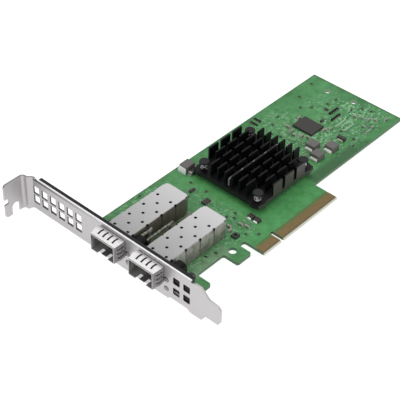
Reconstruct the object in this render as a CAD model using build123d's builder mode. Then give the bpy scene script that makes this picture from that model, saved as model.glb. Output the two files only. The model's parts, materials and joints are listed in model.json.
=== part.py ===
from build123d import *
import os

os.makedirs("parts", exist_ok=True)

# Network interface card with two pluggable-module ports, component side up.
# X runs across the card towards the edge contacts, Y runs from the bracket to
# the far end and Z runs up. Sizes are in millimetres and are measured from the
# card's datum: the middle of its width, the bracket's outer face and the
# board's component side.

# Clearances shared by several pieces
fit_gap = 0.1
port_gap = 0.15
leg_gap = 0.2

# Sides of small round details: those that show, and those mostly hidden
round_sides = 24
hidden_sides = 10

# Bracket sheet and the sealing sheet behind it
sheet = 0.86
gasket_thickness = 1.7
board_gap = 0.3

# Board
card_width = 68.9
board_thickness = 1.57
board_front = sheet + gasket_thickness + board_gap
board_rear = 166.0
edge_x = card_width / 2
rear_edge_x = edge_x - 13.65
corner_radius = 1.2
tooling_hole_radius = 2.0
rear_holes = [(-20.2, 158.8), (-4.8, 160.5)]
rear_hole_radius = 1.4

# Edge contacts, which plug into the motherboard
tongue_front = 43.9
contact_pitch = 1.0
short_row_count = 11
long_row_count = 38
row_margin = 0.6
key_width = 1.9
key_depth = 7.0
bevel_length = 1.3
bevel_depth = 0.42
contact_width = 0.7
contact_length = 5.0
contact_height = 0.06

# Tab at the bracket and foot between its recess and the contacts
foot_x = edge_x - 4.45
recess_x = edge_x - 12.85
slot_end_x = edge_x - 11.85
tab_rear = 13.8
foot_front = 31.0
foot_rear = 40.3

# Bracket, one folded sheet
bracket_length = 120.02
bracket_width = 18.42
bracket_low = -6.2
bracket_high = bracket_low + bracket_width
bracket_reach = 107.15
tab_face = edge_x - bracket_reach
tail_tip = tab_face + bracket_length
tail_corner = 1.0
tab_reach = 11.43
neck_step = 2.0
neck_start = tab_face + 3.4
neck_end = tab_face + 5.4
bend_radius = 1.5
lobe_drop = 0.8
lobe_low = bracket_low - lobe_drop
flange_left = tab_face + 8.7
flange_right = tail_tip - 16.7
relief_width = 1.4
relief_depth = 1.1
vent_size = (3.8, 4.4)
vent_pitch = 5.55
vent_columns = 6
vent_middle = (tab_face + 21.25, 2.5)
window_size = 3.75
window_corner = 0.5
window_pitch = (5.9, 6.05)
window_middle = (edge_x - 9.25, 2.5)
finger_notch = (3.2, 3.0)
screw_notch_width = 4.42
screw_notch_top = -1.0
screw_notch_reach = 6.2
finger_tip_radius = 1.6

# Sealing sheet outline, and the room that it leaves above and below the vents
gasket_left = flange_left
gasket_right = flange_right - 0.2
gasket_top = bracket_high
gasket_bottom = bracket_low + 0.8
vent_header = 0.7
vent_sill = 1.9

# Ports: folded cages that take pluggable modules
port_middle = edge_x - 38.4
port_pitch = 23.1
port_x = [port_middle - port_pitch / 2, port_middle + port_pitch / 2]
cage_width = 14.25
cage_bottom = 0.9
cage_top = 9.9
cage_wall = 0.35
cage_corner = 2.2
cage_edge = 0.3
nose_reach = 6.8
cage_rear = 41.6
port_height = (cage_top + cage_bottom) / 2
port_opening = (cage_width + 2 * port_gap, cage_top - cage_bottom + 2 * port_gap)
leg_rows = [6.2, 14.0, 21.8, 29.6, 37.4]
leg_size = 0.9
leg_depth = 1.1
vent_hole_radius = 0.75
vent_hole_x = 4.0
vent_row_pitch = 9.05
vent_row_last = cage_rear - 9.25
edge_slot = (1.3, 0.9)
corner_slot_inset = 1.85
latch_window = (6.4, 7.0)
latch_tongue = (3.0, 5.6)

# Spring collars round the cage noses
collar_wall = 0.3
collar_bulge = 0.45
finger_slot = 0.9
finger_length = 3.9
top_finger_pitch = 2.9
side_finger_pitch = 2.4

# Sockets inside the cages
connector_size = (9.4, 9.0, 6.4)
connector_y = cage_rear - 6.2
module_slot = (7.6, 1.4, 6.1)
module_slot_height = 3.9
connector_edge = 0.8

# Light pipes beside the ports
pipe_radius = 1.25
pipe_offset = cage_width / 2 + pipe_radius + 0.425
pipe_reach = 0.25
pipe_heights = [3.3, -1.9]
pipe_places = [(x + pipe_offset, z) for x in port_x for z in pipe_heights]
pipe_block = (6.0, 5.6, 9.6)
pipe_block_corner = 2.4

# Screws and the ears of the bracket that they hold to the board; one ear is beside the last light pipe
screw_radius = 1.25
screw_head_radius = 2.1
screw_head_height = 1.3
screw_y = 10.8
ear_width = 6.0
ear_rear = 13.4
last_pipe_edge = port_x[1] + pipe_offset + pipe_radius
screw_places = [(last_pipe_edge + port_gap + ear_width / 2, screw_y), (-28.6, screw_y)]

# Controller chip under the heat sink
chip_size = 23.0
chip_height = 0.9
chip_lid = 17.0
pad_size = 16.0
pad_thickness = 0.3

# Heat sink
sink_x = -4.6
sink_y = 81.8
sink_size = 40.0
sink_bottom = 2.2
base_thickness = 2.2
base_top = sink_bottom + base_thickness
sink_top = 11.0
fin_columns = 10
fin_thickness = 0.95
fin_rows = 5
fin_gap = 2.0
fin_ledge = 1.9
ear_radius = 4.2
pin_spacing = 32.8
pin_radius = 0.95
pin_hole_radius = 1.3
pin_cap_radius = 2.6
pin_cap_height = 0.8
pin_tail = 1.8
barb_lip = 0.4
barb_length = 1.3
barb_tip_radius = 0.8
spring_height = 3.8
spring_outer = 1.75
spring_inner = 1.2
wire_radius = 0.45
wire_height = 8.2
wire_inset = 2.4
wire_depth = 1.5

# Where the datum lies in the part's own frame, whose origin is under its middle
tab_edge = -neck_step - tab_reach
datum_x = -(tab_face + tail_tip) / 2
datum_y = -(tab_edge + board_rear) / 2
datum_z = -lobe_low


def level(z):
    """Plane parallel to the board, at a height above its component side."""
    return Plane(origin=(datum_x, datum_y, datum_z + z))


def facing(y):
    """Plane parallel to the bracket, seen from outside, at a depth behind its face."""
    return Plane(origin=(datum_x, datum_y + y, datum_z), x_dir=(1, 0, 0), z_dir=(0, -1, 0))


def across(x):
    """Plane across the card's width, with its local x along the card and y up."""
    return Plane(origin=(datum_x + x, datum_y, datum_z), x_dir=(0, 1, 0), z_dir=(1, 0, 0))


# Contact rows along the tongue
short_front = tongue_front + row_margin
key_front = short_front + short_row_count * contact_pitch
key_rear = key_front + key_width
long_front = key_rear
tongue_rear = long_front + long_row_count * contact_pitch + row_margin
short_middle = short_front + short_row_count * contact_pitch / 2
long_middle = long_front + long_row_count * contact_pitch / 2
contact_tip = edge_x - bevel_length

# Pins of the heat sink, at the corners of a square
pin_places = [
    (sink_x + sx * pin_spacing / 2, sink_y + sy * pin_spacing / 2)
    for sx in (-1, 1)
    for sy in (-1, 1)
]

# Legs of the cages, in two rows under the side walls
leg_x = cage_width / 2 - cage_wall / 2
leg_places = [(x + side * leg_x, y) for x in port_x for side in (-1, 1) for y in leg_rows]

# Inner and outer corners of the board's tab, foot and tongue that are rounded
round_corners = [
    (foot_x, tab_rear),
    (foot_x, foot_front),
    (foot_x, foot_rear),
    (slot_end_x, foot_rear),
    (slot_end_x, tongue_front),
    (recess_x, tab_rear),
    (recess_x, foot_front),
]

# Circuit board with its contact tongue, foot, recess and holes
with BuildPart() as circuit_board:
    with BuildSketch(level(-board_thickness)):
        with BuildLine():
            Polyline(
                (-edge_x, board_front),
                (foot_x, board_front),
                (foot_x, tab_rear),
                (recess_x, tab_rear),
                (recess_x, foot_front),
                (foot_x, foot_front),
                (foot_x, foot_rear),
                (slot_end_x, foot_rear),
                (slot_end_x, tongue_front),
                (edge_x, tongue_front),
                (edge_x, tongue_rear),
                (rear_edge_x, tongue_rear),
                (rear_edge_x, board_rear),
                (-edge_x, board_rear),
                close=True,
            )
        make_face()
        with Locations((edge_x - key_depth / 2, key_front + key_width / 2)):
            Rectangle(key_depth, key_width, mode=Mode.SUBTRACT)
        with Locations((slot_end_x + 0.3, (foot_front + foot_rear) / 2)):
            Circle(tooling_hole_radius, mode=Mode.SUBTRACT)
        with Locations(*rear_holes):
            Circle(rear_hole_radius, mode=Mode.SUBTRACT)
        with Locations(*pin_places):
            RegularPolygon(pin_hole_radius, hidden_sides, mode=Mode.SUBTRACT)
        with Locations(*screw_places):
            RegularPolygon(screw_radius + fit_gap, hidden_sides, mode=Mode.SUBTRACT)
        with Locations(*leg_places):
            Rectangle(cage_wall + 2 * leg_gap, leg_size + 2 * leg_gap, mode=Mode.SUBTRACT)
    extrude(amount=board_thickness)
    upright = circuit_board.edges().filter_by(Axis.Z)
    rounded = [
        edge
        for edge in upright
        for x, y in round_corners
        if abs(edge.center().X - datum_x - x) < 0.01 and abs(edge.center().Y - datum_y - y) < 0.01
    ]
    fillet(rounded, radius=corner_radius)
    with BuildSketch(facing(tongue_front - 1)):
        for surface, depth in ((0, bevel_depth), (-board_thickness, -bevel_depth)):
            with BuildLine():
                Polyline(
                    (edge_x - bevel_length, surface),
                    (edge_x + 1, surface),
                    (edge_x + 1, surface - depth),
                    (edge_x, surface - depth),
                    close=True,
                )
            make_face()
    extrude(amount=tongue_front - tongue_rear - 2, mode=Mode.SUBTRACT)
circuit_board.part.label = "circuit_board"
export_step(circuit_board.part, "parts/circuit_board.step")


def contact_rows(z):
    """Both rows of edge contacts on one side of the board."""
    contact_x = contact_tip - contact_length / 2
    with BuildPart() as contacts:
        with BuildSketch(level(z)):
            for middle, count in ((short_middle, short_row_count), (long_middle, long_row_count)):
                with Locations((contact_x, middle)):
                    with GridLocations(1, contact_pitch, 1, count):
                        Rectangle(contact_length, contact_width)
        extrude(amount=contact_height)
    return contacts.part


edge_contacts_top = contact_rows(0)
edge_contacts_top.label = "edge_contacts_top"
export_step(edge_contacts_top, "parts/edge_contacts_top.step")

edge_contacts_bottom = contact_rows(-board_thickness - contact_height)
edge_contacts_bottom.label = "edge_contacts_bottom"
export_step(edge_contacts_bottom, "parts/edge_contacts_bottom.step")

# Bracket: the bent strip first, then its outline, its openings and its ears
with BuildPart() as bracket:
    with BuildSketch(level(lobe_low)):
        with BuildLine():
            FilletPolyline(
                (tail_tip, 0),
                (neck_end, 0),
                (neck_start, -neck_step),
                (tab_face + sheet, -neck_step),
                (tab_face + sheet, tab_edge),
                radius=bend_radius,
            )
            offset(amount=sheet, side=Side.RIGHT)
        make_face()
    extrude(amount=bracket_high - lobe_low)
    with BuildSketch(facing(sheet + 1)):
        with BuildLine():
            Polyline(
                (tab_face - 1, bracket_high),
                (flange_left - relief_width, bracket_high),
                (flange_left - relief_width, bracket_high - relief_depth),
                (flange_left, bracket_high - relief_depth),
                (flange_left, bracket_high),
                (flange_right, bracket_high),
                (flange_right, bracket_high - relief_depth),
                (flange_right + relief_width, bracket_high - relief_depth),
                (tail_tip - 14.3, bracket_high - 0.4),
                (tail_tip - 10.7, bracket_high - 0.4),
                (tail_tip - 6.7, 7.8),
                (tail_tip - 1.5, 7.2),
                (tail_tip, 5.8),
                (tail_tip, -1.2),
                (tail_tip - 1.4, -3.5),
                (tail_tip - 8.3, -3.5),
                (tail_tip - 10.7, lobe_low),
                (tail_tip - 17.1, lobe_low),
                (tail_tip - 18.9, bracket_low + 0.5),
                (tail_tip - 28.7, bracket_low + 0.5),
                (tail_tip - 29.9, lobe_low),
                (-24.6, lobe_low),
                (-25.6, bracket_low),
                (neck_start + 1, bracket_low),
                (neck_start, lobe_low),
                (tab_face - 1, lobe_low),
                close=True,
            )
        make_face()
    extrude(amount=sheet + 2 - tab_edge, mode=Mode.INTERSECT)
    tail_corners = bracket.edges().filter_by(Axis.Y).group_by(Axis.X)[-1]
    fillet(tail_corners, radius=tail_corner)
    with BuildSketch(facing(sheet + 1)):
        for x in port_x:
            with Locations((x, port_height)):
                Rectangle(*port_opening)
        with Locations(*pipe_places):
            RegularPolygon(pipe_radius + fit_gap, round_sides)
        with Locations(vent_middle):
            with GridLocations(vent_pitch, vent_pitch, vent_columns, 2):
                Rectangle(*vent_size)
        with Locations(window_middle):
            with GridLocations(*window_pitch, 2, 2):
                RectangleRounded(window_size, window_size, window_corner)
    extrude(amount=sheet + 2, mode=Mode.SUBTRACT)
    with BuildSketch(across(tab_face - 1)):
        with BuildLine():
            Polyline(
                (tab_edge - 1, bracket_high - relief_depth),
                (tab_edge, bracket_high - relief_depth),
                (tab_edge + relief_depth, bracket_high),
                (tab_edge + relief_depth, bracket_high + 1),
                (tab_edge - 1, bracket_high + 1),
                close=True,
            )
        make_face()
        with Locations((tab_edge + 0.6, 2.1)):
            Rectangle(*finger_notch)
        with Locations((tab_edge + screw_notch_reach, screw_notch_top - screw_notch_width / 2)):
            Circle(screw_notch_width / 2)
            Rectangle(screw_notch_width, bracket_width, align=(Align.CENTER, Align.MAX))
    extrude(amount=sheet + 2, mode=Mode.SUBTRACT)
    finger_foot = [
        edge
        for edge in bracket.edges().filter_by(Axis.X)
        if edge.center().Z < datum_z + lobe_low + 0.1 and edge.center().Y < datum_y + tab_edge + 0.1
    ]
    fillet(finger_foot, radius=finger_tip_radius)
    for x, y in screw_places:
        with BuildSketch(level(-board_thickness - sheet)):
            with Locations((x, (sheet + ear_rear) / 2)):
                Rectangle(ear_width, ear_rear - sheet)
            with Locations((x, y)):
                RegularPolygon(screw_radius + fit_gap, hidden_sides, mode=Mode.SUBTRACT)
        extrude(amount=sheet)
bracket.part.label = "bracket"
export_step(bracket.part, "parts/bracket.step")

# Sealing sheet, open behind the ports, lights and screw ears, with two arms round the vents
vent_field_right = vent_middle[0] + (vent_columns - 1) * vent_pitch / 2 + vent_size[0] / 2 + fit_gap
vent_field_top = vent_middle[1] + (vent_pitch + vent_size[1]) / 2 + vent_header
vent_field_bottom = vent_middle[1] - (vent_pitch + vent_size[1]) / 2 - vent_sill
with BuildPart() as bracket_gasket:
    with BuildSketch(facing(sheet)):
        with Locations((gasket_left, gasket_bottom)):
            gasket_size = (gasket_right - gasket_left, gasket_top - gasket_bottom)
            Rectangle(*gasket_size, align=(Align.MIN, Align.MIN))
        with Locations(*[(x, port_height) for x in port_x]):
            Rectangle(*port_opening, mode=Mode.SUBTRACT)
        with Locations(*pipe_places):
            pipe_hole = 2 * (pipe_radius + fit_gap)
            Rectangle(pipe_hole, pipe_hole, mode=Mode.SUBTRACT)
        with Locations((vent_field_right, vent_field_bottom)):
            vent_field = (vent_field_right - gasket_left + 1, vent_field_top - vent_field_bottom)
            Rectangle(*vent_field, align=(Align.MAX, Align.MIN), mode=Mode.SUBTRACT)
        with Locations(*[(x, -board_thickness - sheet / 2) for x, y in screw_places]):
            Rectangle(ear_width + 2 * fit_gap, sheet + 2 * fit_gap, mode=Mode.SUBTRACT)
    extrude(amount=-gasket_thickness)
bracket_gasket.part.label = "bracket_gasket"
export_step(bracket_gasket.part, "parts/bracket_gasket.step")

# Screws that hold the board to the bracket's two ears
with BuildPart() as bracket_screws:
    with BuildSketch(level(-board_thickness - sheet)):
        with Locations(*screw_places):
            RegularPolygon(screw_radius, hidden_sides)
    extrude(amount=board_thickness + sheet)
    with BuildSketch(level(0)):
        with Locations(*screw_places):
            RegularPolygon(screw_head_radius, round_sides)
    extrude(amount=screw_head_height)
    chamfer(bracket_screws.faces().group_by(Axis.Z)[-1].edges(), length=0.4)
bracket_screws.part.label = "bracket_screws"
export_step(bracket_screws.part, "parts/bracket_screws.step")


def port_cage(x):
    """Folded sheet cage with an open nose, vent holes and press-fit legs."""
    inner_width = cage_width - 2 * cage_wall
    skirt_front = board_front + 1
    skirt_rear = cage_rear - cage_corner - 0.3
    with BuildPart() as cage:
        with BuildSketch(facing(-nose_reach)):
            with Locations((x, port_height)):
                Rectangle(cage_width, cage_top - cage_bottom)
        extrude(amount=-nose_reach - cage_rear)
        fillet(cage.edges().filter_by(Axis.Z).group_by(Axis.Y)[-1], radius=cage_corner)
        chamfer(cage.edges().filter_by(Axis.Y).group_by(Axis.Z)[-1], length=cage_edge)
        offset(amount=-cage_wall, openings=cage.faces().filter_by(Axis.Y).sort_by(Axis.Y)[0])
        with BuildSketch(level(cage_top + 1)):
            for row in range(4):
                y = vent_row_last - row * vent_row_pitch
                with Locations((x - vent_hole_x, y), (x + vent_hole_x, y)):
                    RegularPolygon(vent_hole_radius, hidden_sides)
                with Locations((x - cage_width / 2, y), (x + cage_width / 2, y)):
                    Rectangle(*edge_slot)
            for row in range(3):
                with Locations((x, vent_row_last - (row + 0.5) * vent_row_pitch)):
                    RegularPolygon(vent_hole_radius, hidden_sides)
            corner_y = cage_rear - corner_slot_inset
            with Locations((x - cage_width / 2, corner_y), (x + cage_width / 2, corner_y)):
                Rectangle(*edge_slot)
        extrude(amount=-2, mode=Mode.SUBTRACT)
        with BuildSketch(level(cage_bottom - 1)):
            with Locations((x, -nose_reach)):
                Rectangle(*latch_window)
            with Locations((x, connector_y)):
                Rectangle(inner_width, connector_size[1] + 2)
        extrude(amount=2, mode=Mode.SUBTRACT)
        with BuildSketch(level(cage_bottom)):
            with Locations((x, latch_window[1] / 2 - nose_reach + fit_gap)):
                Rectangle(*latch_tongue)
        extrude(amount=cage_wall)
        with BuildSketch(level(fit_gap)):
            with Locations((x - leg_x, skirt_front), (x + leg_x, skirt_front)):
                Rectangle(cage_wall, skirt_rear - skirt_front, align=(Align.CENTER, Align.MIN))
        extrude(amount=cage_bottom - fit_gap)
        with BuildSketch(level(-board_thickness - leg_depth)):
            for y in leg_rows:
                with Locations((x - leg_x, y), (x + leg_x, y)):
                    Rectangle(cage_wall, leg_size)
        extrude(amount=board_thickness + leg_depth + fit_gap)
    return cage.part


def port_collar(x):
    """Bulged strip of spring fingers round the top and sides of a cage's nose."""
    stations = ((0.3, 0.0), (1.9, 0.0), (3.6, collar_bulge), (6.6, 0.1))
    collar_bottom = cage_bottom + collar_wall
    finger_y = finger_length - nose_reach
    with BuildPart() as collar:
        for depth, bulge in stations:
            with BuildSketch(facing(depth - nose_reach)):
                with Locations((x, collar_bottom)):
                    wide = cage_width + 2 * (collar_wall + bulge)
                    tall = cage_top - collar_bottom + collar_wall + bulge
                    Rectangle(wide, tall, align=(Align.CENTER, Align.MIN))
        loft(ruled=True)
        with BuildSketch(facing(-nose_reach - 1)):
            with Locations((x, collar_bottom - 1)):
                core_height = cage_top - collar_bottom + 1
                Rectangle(cage_width, core_height, align=(Align.CENTER, Align.MIN))
        extrude(amount=-nose_reach - 2, mode=Mode.SUBTRACT)
        with BuildSketch(level(cage_top - 1)):
            with Locations((x, finger_y)):
                with GridLocations(top_finger_pitch, 1, 4, 1):
                    Rectangle(finger_slot, finger_length)
        extrude(amount=4, mode=Mode.SUBTRACT)
        with BuildSketch(across(x - cage_width)):
            with Locations((finger_y, port_height + fit_gap)):
                with GridLocations(1, side_finger_pitch, 1, 3):
                    Rectangle(finger_length, finger_slot)
        extrude(amount=2 * cage_width, mode=Mode.SUBTRACT)
    return collar.part


def port_connector(x):
    """Board-mounted socket at the inner end of a cage, with its card-edge slot."""
    slot_width, slot_height, slot_depth = module_slot
    with BuildPart() as connector:
        with BuildSketch(level(0)):
            with Locations((x, connector_y)):
                Rectangle(connector_size[0], connector_size[1])
        extrude(amount=connector_size[2])
        with BuildSketch(facing(connector_y - connector_size[1] / 2)):
            with Locations((x, module_slot_height)):
                Rectangle(slot_width, slot_height)
        extrude(amount=-slot_depth, mode=Mode.SUBTRACT)
        chamfer(connector.edges().filter_by(Axis.X).group_by(Axis.Z)[-1], length=connector_edge)
    return connector.part


def light_pipe_block(x):
    """Dark housing with a rounded top that carries two light pipes beside a port."""
    wide, deep, tall = pipe_block
    left = x + cage_width / 2 + collar_wall
    with BuildPart() as block:
        with BuildSketch(facing(sheet + gasket_thickness + fit_gap)):
            with Locations((left, 0)):
                Rectangle(wide, tall, align=(Align.MIN, Align.MIN))
        extrude(amount=-deep)
        fillet(block.edges().filter_by(Axis.Y).group_by(Axis.Z)[-1], radius=pipe_block_corner)
    return block.part


port_names = ["left", "right"]
for name, x in zip(port_names, port_x):
    for kind, make in (
        ("port_cage", port_cage),
        ("port_collar", port_collar),
        ("port_connector", port_connector),
        ("light_pipe_block", light_pipe_block),
    ):
        piece = make(x)
        piece.label = f"{kind}_{name}"
        export_step(piece, f"parts/{kind}_{name}.step")

# Clear lens tips in the bracket's round holes
with BuildPart() as light_lenses:
    with BuildSketch(facing(-pipe_reach)):
        with Locations(*pipe_places):
            RegularPolygon(pipe_radius, round_sides)
    extrude(amount=-pipe_reach - sheet - gasket_thickness)
light_lenses.part.label = "light_lenses"
export_step(light_lenses.part, "parts/light_lenses.step")

# Controller chip and the soft pad between it and the heat sink
with BuildPart() as controller_chip:
    with BuildSketch(level(0)):
        with Locations((sink_x, sink_y)):
            Rectangle(chip_size, chip_size)
    extrude(amount=chip_height)
    with BuildSketch(level(chip_height)):
        with Locations((sink_x, sink_y)):
            Rectangle(chip_lid, chip_lid)
    extrude(amount=sink_bottom - pad_thickness - chip_height)
controller_chip.part.label = "controller_chip"
export_step(controller_chip.part, "parts/controller_chip.step")

with BuildPart() as thermal_pad:
    with BuildSketch(level(sink_bottom - pad_thickness)):
        with Locations((sink_x, sink_y)):
            Rectangle(pad_size, pad_size)
    extrude(amount=pad_thickness)
thermal_pad.part.label = "thermal_pad"
export_step(thermal_pad.part, "parts/thermal_pad.step")

# Heat sink: base with four round ears, fins cut into rows, clear corners for the pins
fin_pitch = (sink_size - fin_thickness) / (fin_columns - 1)
fin_row_pitch = (sink_size + fin_gap) / fin_rows
fin_length = fin_row_pitch - fin_gap
sink_front = sink_y - sink_size / 2
sink_rear = sink_y + sink_size / 2
wire_ends = (sink_front + wire_inset, sink_rear - wire_inset)
with BuildPart() as heat_sink:
    with BuildSketch(level(sink_bottom)):
        with Locations((sink_x, sink_y)):
            Rectangle(sink_size, sink_size)
        with Locations(*pin_places):
            Circle(ear_radius)
            RegularPolygon(pin_hole_radius, hidden_sides, mode=Mode.SUBTRACT)
    extrude(amount=base_thickness)
    with BuildSketch(level(base_top)):
        for column in range(fin_columns):
            for row in range(fin_rows):
                corner_column = column in (0, 1, fin_columns - 2, fin_columns - 1)
                if corner_column and row in (0, fin_rows - 1):
                    continue
                fin_x = sink_x - sink_size / 2 + fin_thickness / 2 + column * fin_pitch
                fin_front = sink_front + fin_ledge + row * fin_row_pitch
                fin_end = min(fin_front + fin_length, sink_rear)
                with Locations((fin_x, (fin_front + fin_end) / 2)):
                    Rectangle(fin_thickness, fin_end - fin_front)
    extrude(amount=sink_top - base_top)
    with BuildSketch(level(base_top)):
        with Locations(*[(sink_x, y) for y in wire_ends]):
            Circle(wire_radius + fit_gap)
    extrude(amount=-wire_depth - fit_gap, mode=Mode.SUBTRACT)
heat_sink.part.label = "heat_sink"
export_step(heat_sink.part, "parts/heat_sink.step")

# Spring wire along the middle channel, with both ends turned down into the base
wire_foot = level(base_top - wire_depth).from_local_coords(Vector(sink_x, wire_ends[0], 0))
wire_rise = Vector(0, 0, wire_height - base_top + wire_depth)
wire_run = Vector(0, wire_ends[1] - wire_ends[0], 0)
with BuildPart() as heat_sink_wire:
    with BuildLine():
        FilletPolyline(
            wire_foot,
            wire_foot + wire_rise,
            wire_foot + wire_rise + wire_run,
            wire_foot + wire_run,
            radius=1.0,
        )
    with BuildSketch(Plane(origin=wire_foot)):
        RegularPolygon(wire_radius, 6)
    sweep()
heat_sink_wire.part.label = "heat_sink_wire"
export_step(heat_sink_wire.part, "parts/heat_sink_wire.step")

# Push pins: shank through the ear and the board, cap on top, barb underneath
pin_cap_bottom = base_top + spring_height
with BuildPart() as push_pins:
    with BuildSketch(level(-board_thickness - pin_tail)):
        with Locations(*pin_places):
            RegularPolygon(pin_radius, hidden_sides)
    extrude(amount=board_thickness + pin_tail + pin_cap_bottom)
    with BuildSketch(level(pin_cap_bottom)):
        with Locations(*pin_places):
            RegularPolygon(pin_cap_radius, round_sides)
    extrude(amount=pin_cap_height)
    barb_top = -board_thickness - fit_gap
    barb_rings = ((barb_top, pin_hole_radius + barb_lip), (barb_top - barb_length, barb_tip_radius))
    for x, y in pin_places:
        for height, radius in barb_rings:
            with BuildSketch(level(height)):
                with Locations((x, y)):
                    RegularPolygon(radius, hidden_sides)
        loft(ruled=True)
    chamfer(push_pins.faces().group_by(Axis.Z)[-1].edges(), length=0.3)
push_pins.part.label = "push_pins"
export_step(push_pins.part, "parts/push_pins.step")

# Coil springs of the pins, as the tube that their turns fill
with BuildPart() as pin_springs:
    with BuildSketch(level(base_top)):
        with Locations(*pin_places):
            RegularPolygon(spring_outer, hidden_sides)
            RegularPolygon(spring_inner, hidden_sides, mode=Mode.SUBTRACT)
    extrude(amount=spring_height)
pin_springs.part.label = "pin_springs"
export_step(pin_springs.part, "parts/pin_springs.step")


def board_parts(places, size, edge=0.0):
    """Equal parts standing on the board, one solid at each place (x, y, turn)."""
    with BuildPart(level(0)) as group:
        for x, y, turn in places:
            with Locations(Location((x, y, 0), (0, 0, turn))):
                Box(*size, align=(Align.CENTER, Align.CENTER, Align.MIN))
        if edge:
            chamfer(group.faces().group_by(Axis.Z)[-1].edges(), length=edge)
    return group.part


# Parts on the board: node name, size, edge chamfer and places
board_part_list = [
    ("management_chip", (12.0, 9.8, 1.2), 0.15, [(-8.7, 128.4, 0)]),
    ("power_inductors", (5.4, 5.4, 3.2), 0.4, [(9.6, 112.6, 0), (10.6, 122.4, 0), (3.2, 117.0, 0)]),
    ("filter_inductor", (5.0, 6.2, 3.8), 0.4, [(-29.9, 63.2, 0)]),
    ("bulk_capacitors", (2.4, 5.6, 1.9), 0.2, [(-26.0, 63.6, 0)]),
    ("memory_chip", (3.6, 4.2, 0.9), 0.1, [(-7.4, 51.8, 0)]),
    ("clock_chip", (1.9, 3.4, 0.9), 0.1, [(-17.4, 53.2, 0)]),
    ("power_diodes", (3.0, 2.7, 1.2), 0.15, [(14.5, 58.2, 0), (18.1, 58.2, 0)]),
    ("tank_capacitor", (4.6, 2.0, 1.6), 0.15, [(9.4, 132.0, 0)]),
    ("resistor_networks", (1.3, 7.0, 0.7), 0.0, [(-7.3, 147.3, 0), (-3.4, 143.9, 0)]),
    ("signal_chips", (2.2, 1.6, 0.8), 0.0, [(-10.8, 145.8, 0), (-6.6, 136.8, 90)]),
    ("edge_networks", (4.2, 1.2, 0.6), 0.0, [(-29.8, 111.8, 0), (-30.4, 115.2, 0)]),
]
for name, size, edge, places in board_part_list:
    piece = board_parts(places, size, edge)
    piece.label = name
    export_step(piece, f"parts/{name}.step")

# Small square inductor with an open middle
with BuildPart() as ring_inductor:
    with BuildSketch(level(0)):
        with Locations((17.7, 43.4)):
            Rectangle(3.0, 3.2)
            RegularPolygon(0.8, hidden_sides, mode=Mode.SUBTRACT)
    extrude(amount=1.1)
ring_inductor.part.label = "ring_inductor"
export_step(ring_inductor.part, "parts/ring_inductor.step")

# Chip capacitors and resistors: places (x, y, turn) by eye along the power rails
capacitor_places = [
    (-13.6, 106.0, 0), (-10.4, 105.6, 0), (-6.8, 107.2, 0), (-3.6, 105.4, 90),
    (-0.6, 107.6, 0), (2.6, 105.6, 90), (5.2, 108.2, 0), (11.8, 104.8, 0),
    (-15.8, 121.6, 0), (-12.4, 120.0, 90), (-9.4, 118.4, 0), (-6.2, 120.2, 90),
    (-16.4, 130.6, 90), (-3.2, 121.6, 0), (-1.2, 131.2, 90), (0.6, 134.4, 90),
    (3.4, 151.0, 0), (6.6, 152.4, 0), (9.8, 153.6, 90), (12.6, 155.4, 0),
    (14.8, 149.8, 90), (15.4, 145.2, 90), (11.4, 147.4, 0), (16.0, 159.4, 90),
    (14.4, 51.0, 0), (17.6, 51.8, 0), (11.6, 46.4, 0), (13.6, 44.4, 90),
]
resistor_places = [
    (24.4, 51.6, 90), (20.4, 47.8, 0), (9.4, 52.4, 0), (6.2, 50.4, 90),
    (7.4, 55.2, 0), (-12.4, 57.2, 90), (-16.2, 48.6, 90), (-21.8, 57.2, 0),
    (-13.4, 113.2, 0), (-18.2, 111.4, 90), (-22.6, 117.8, 0), (-24.8, 124.4, 90),
    (-21.4, 138.4, 0), (-17.6, 142.2, 90), (-13.2, 150.2, 0), (-1.4, 154.0, 90),
    (2.2, 158.4, 0), (6.8, 160.2, 0), (-12.6, 155.8, 90), (-27.6, 145.2, 0),
    (-30.2, 158.0, 90), (13.8, 136.2, 0), (16.6, 131.4, 90), (5.4, 137.0, 0),
    (recess_x - 4.4, 24.6, 0), (recess_x - 2.8, 29.4, 0), (-32.7, 33.9, 90),
]

chip_capacitors = board_parts(capacitor_places, (2.0, 1.25, 1.0))
chip_capacitors.label = "chip_capacitors"
export_step(chip_capacitors, "parts/chip_capacitors.step")

chip_resistors = board_parts(resistor_places, (1.6, 0.8, 0.5))
chip_resistors.label = "chip_resistors"
export_step(chip_resistors, "parts/chip_resistors.step")
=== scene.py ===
# %% [markdown]
# # A network interface card, dressed for its picture
# The card was drawn as exact solids, in millimetres, and packed. This lesson
# loads those solids and gives them what a drawing lacks: soft edges, solder,
# printed marks, plated metal and lacquer. Everything stays where the drawing
# puts it, so each new piece takes its place from the solid that it dresses.

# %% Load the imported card
import bpy
import bmesh
import json
import math
import random
from mathutils import Matrix, Vector


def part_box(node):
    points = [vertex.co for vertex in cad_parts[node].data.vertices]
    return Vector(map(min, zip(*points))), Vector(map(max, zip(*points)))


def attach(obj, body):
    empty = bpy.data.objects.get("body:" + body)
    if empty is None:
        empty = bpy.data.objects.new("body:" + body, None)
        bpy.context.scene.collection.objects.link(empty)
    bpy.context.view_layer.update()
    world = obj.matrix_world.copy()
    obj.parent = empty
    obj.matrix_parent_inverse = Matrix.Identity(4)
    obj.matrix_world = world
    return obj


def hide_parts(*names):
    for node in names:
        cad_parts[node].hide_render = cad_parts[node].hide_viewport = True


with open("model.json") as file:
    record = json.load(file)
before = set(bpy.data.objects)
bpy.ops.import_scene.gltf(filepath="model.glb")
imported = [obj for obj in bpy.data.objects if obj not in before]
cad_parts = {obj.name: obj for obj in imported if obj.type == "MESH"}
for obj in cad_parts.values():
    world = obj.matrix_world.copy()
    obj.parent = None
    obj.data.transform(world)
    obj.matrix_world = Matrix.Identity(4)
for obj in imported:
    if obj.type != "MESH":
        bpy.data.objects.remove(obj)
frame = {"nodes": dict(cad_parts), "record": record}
scene = bpy.context.scene
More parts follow.
